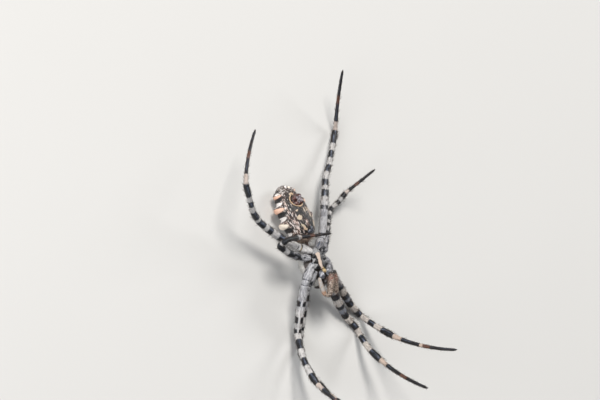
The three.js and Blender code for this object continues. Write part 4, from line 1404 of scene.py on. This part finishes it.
# Lights: place, size, power and tint.
LIGHTS = {
    "key_light": ((-0.12, 0.55, 0.7), 0.3, 7.4, (1.0, 0.97, 0.93)),
    "fill_light": ((-0.75, 0.1, 0.36), 0.5, 4.5, (0.96, 0.97, 1.0)),
    "rim_light": ((0.6, 0.1, 0.35), 0.3, 2.0, (1.0, 1.0, 1.0)),
}
SKY, SKY_STRENGTH = (0.9, 0.92, 0.95, 1), 0.22


def make_camera():
    back = CAMERA_BACK.normalized()
    up = (CAMERA_UP - back * CAMERA_UP.dot(back)).normalized()
    right = up.cross(back)
    waist = Vector(to_world(np.zeros(3)))
    aim = waist - right * WAIST_RIGHT + up * WAIST_DOWN
    data = bpy.data.cameras.new("camera")
    data.sensor_width = 36.0
    data.lens = data.sensor_width * CAMERA_DISTANCE / FRAME_WIDTH
    data.clip_start, data.clip_end = 0.01, 20.0
    camera = bpy.data.objects.new("camera", data)
    turn = Matrix((right, up, back)).transposed().to_4x4()
    camera.matrix_world = Matrix.Translation(aim + back * CAMERA_DISTANCE) @ turn
    bpy.context.scene.collection.objects.link(camera)
    bpy.context.scene.camera = camera


def make_light(name, place, size, power, tint):
    data = bpy.data.lights.new(name, "AREA")
    data.shape = "DISK"
    data.size = size
    data.energy = power
    data.color = tint
    lamp = bpy.data.objects.new(name, data)
    lamp.location = place
    lamp.rotation_mode = "QUATERNION"
    lamp.rotation_quaternion = (-Vector(place)).to_track_quat("-Z", "Y")
    bpy.context.scene.collection.objects.link(lamp)


def make_stage():
    verts = [(FLOOR_HALF * a, FLOOR_HALF * b, 0) for a, b in ((-1, -1), (1, -1), (1, 1), (-1, 1))]
    floor = build("studio_floor", verts, [(0, 1, 2, 3)], np.zeros((0, 3)))
    floor.location.z = -3 * FLOOR_CLEAR
    floor.data.materials.append(floor_material())
    for name, settings in LIGHTS.items():
        make_light(name, *settings)
    world = bpy.data.worlds.new("studio")
    world.use_nodes = True
    sky = world.node_tree.nodes["Background"]
    sky.inputs["Color"].default_value = SKY
    sky.inputs["Strength"].default_value = SKY_STRENGTH
    bpy.context.scene.world = world
    bpy.context.scene.view_settings.view_transform = "Standard"


# ------------------------------------------------------------------ assembly
COATS = {
    "down_pale": plain_coat("down_pale", (0.52, 0.51, 0.50), (0.34, 0.33, 0.32), 0.5),
    "down_dark": plain_coat("down_dark", (0.007, 0.007, 0.008), (0.020, 0.020, 0.021), 0.5),
    "down_brown": plain_coat("down_brown", (0.18, 0.13, 0.10), (0.44, 0.36, 0.29), 0.5),
    "bristle": plain_coat("bristle", (0.02, 0.014, 0.012), (0.10, 0.06, 0.04), 0.35),
    "claw": plain_coat("claw", (0.012, 0.008, 0.008), (0.03, 0.018, 0.014), 0.2),
}


def make_legs(rng):
    material = leg_material()
    by_side = {"L": [], "R": []}
    for number, name in enumerate(LEGS):
        surface = leg_surface(name, number)
        obj = surface.mesh(f"leg_skin_{name}")
        nodes = [f"leg_{name}_{part}" for part in ("coxa", "femur", "tibia", "metatarsus")]
        finish_piece(obj, material, "banded_leg", *nodes)
        leg_claws(name, surface)
        by_side[name[0]].append(surface)
    for side, surfaces in by_side.items():
        leg_coat(surfaces, side, rng)
        leg_spines(surfaces, side, rng)


def make_body(rng):
    carapace = carapace_surface()
    finish_piece(carapace.mesh("carapace_skin"), carapace_material(), "silver_hair", "carapace")
    body_coat("coat_carapace", carapace, 30, (0.25, 0.5), (0.08, 0.35), 0.028,
              COATS["down_pale"], "silver_hair", rng,
              lambda r: (r["body_xyz"][:, 2] < 0.2) & (r["bare"] < 0.3))
    body_coat("coat_waist_front", carapace, 46, (0.5, 1.2), (0.7, 1.0), 0.04,
              COATS["down_pale"], "silver_hair", rng,
              lambda r: (r["body_xyz"][:, 1] > -1.1) & (r["body_xyz"][:, 2] > -1.8))
    sternum = sternum_surface()
    finish_piece(sternum.mesh("sternum_skin"), sternum_material(), "dark_plate", "sternum")
    body_coat("coat_sternum", sternum, 16, (0.2, 0.45), (0.3, 0.8), 0.02,
              COATS["down_dark"], "dark_plate", rng,
              lambda r: (r["body_xyz"][:, 2] > 1.3) & (r["band"] < 0))
    waist = tube_surface([(0, -0.5, -0.3), (0, 0.3, -0.24), (0, 1.0, -0.15)],
                         (0.46, 0.38, 0.5), 24, 30)
    rust = chitin_material("pedicel_chitin", (0.015, 0.008, 0.007), (0.10, 0.045, 0.035), 0.4)
    finish_piece(waist.mesh("pedicel_skin"), rust, "dark_plate", "pedicel")
    abdomen = abdomen_surface()
    finish_piece(abdomen.mesh("abdomen_skin"), abdomen_material(), "belly_mottle", "abdomen")
    body_coat("coat_back", abdomen, 20, (0.18, 0.36), (0.1, 0.4), 0.024,
              COATS["down_pale"], "belly_mottle", rng,
              lambda r: (r["silver"] > 0) & (r["pitch"] < -0.05) & (r["cream"] < -0.05))
    body_coat("coat_waist", abdomen, 42, (0.55, 1.15), (0.75, 1.0), 0.04,
              COATS["down_brown"], "belly_mottle", rng,
              lambda r: (r["body_xyz"][:, 1] < 1.6) & (r["body_xyz"][:, 2] < 1.2))
    body_coat("coat_belly", abdomen, 5, (0.15, 0.4), (0.4, 0.9), 0.016,
              COATS["down_brown"], "belly_mottle", rng, lambda r: r["silver"] < 0.2)


rng = np.random.default_rng(SEED)
make_camera()
make_stage()
make_legs(rng)
make_body(rng)
make_mouth(rng)
make_palps(rng)
make_spinnerets(rng)
make_epigynum()
make_eyes()

bpy.context.view_layer.update()
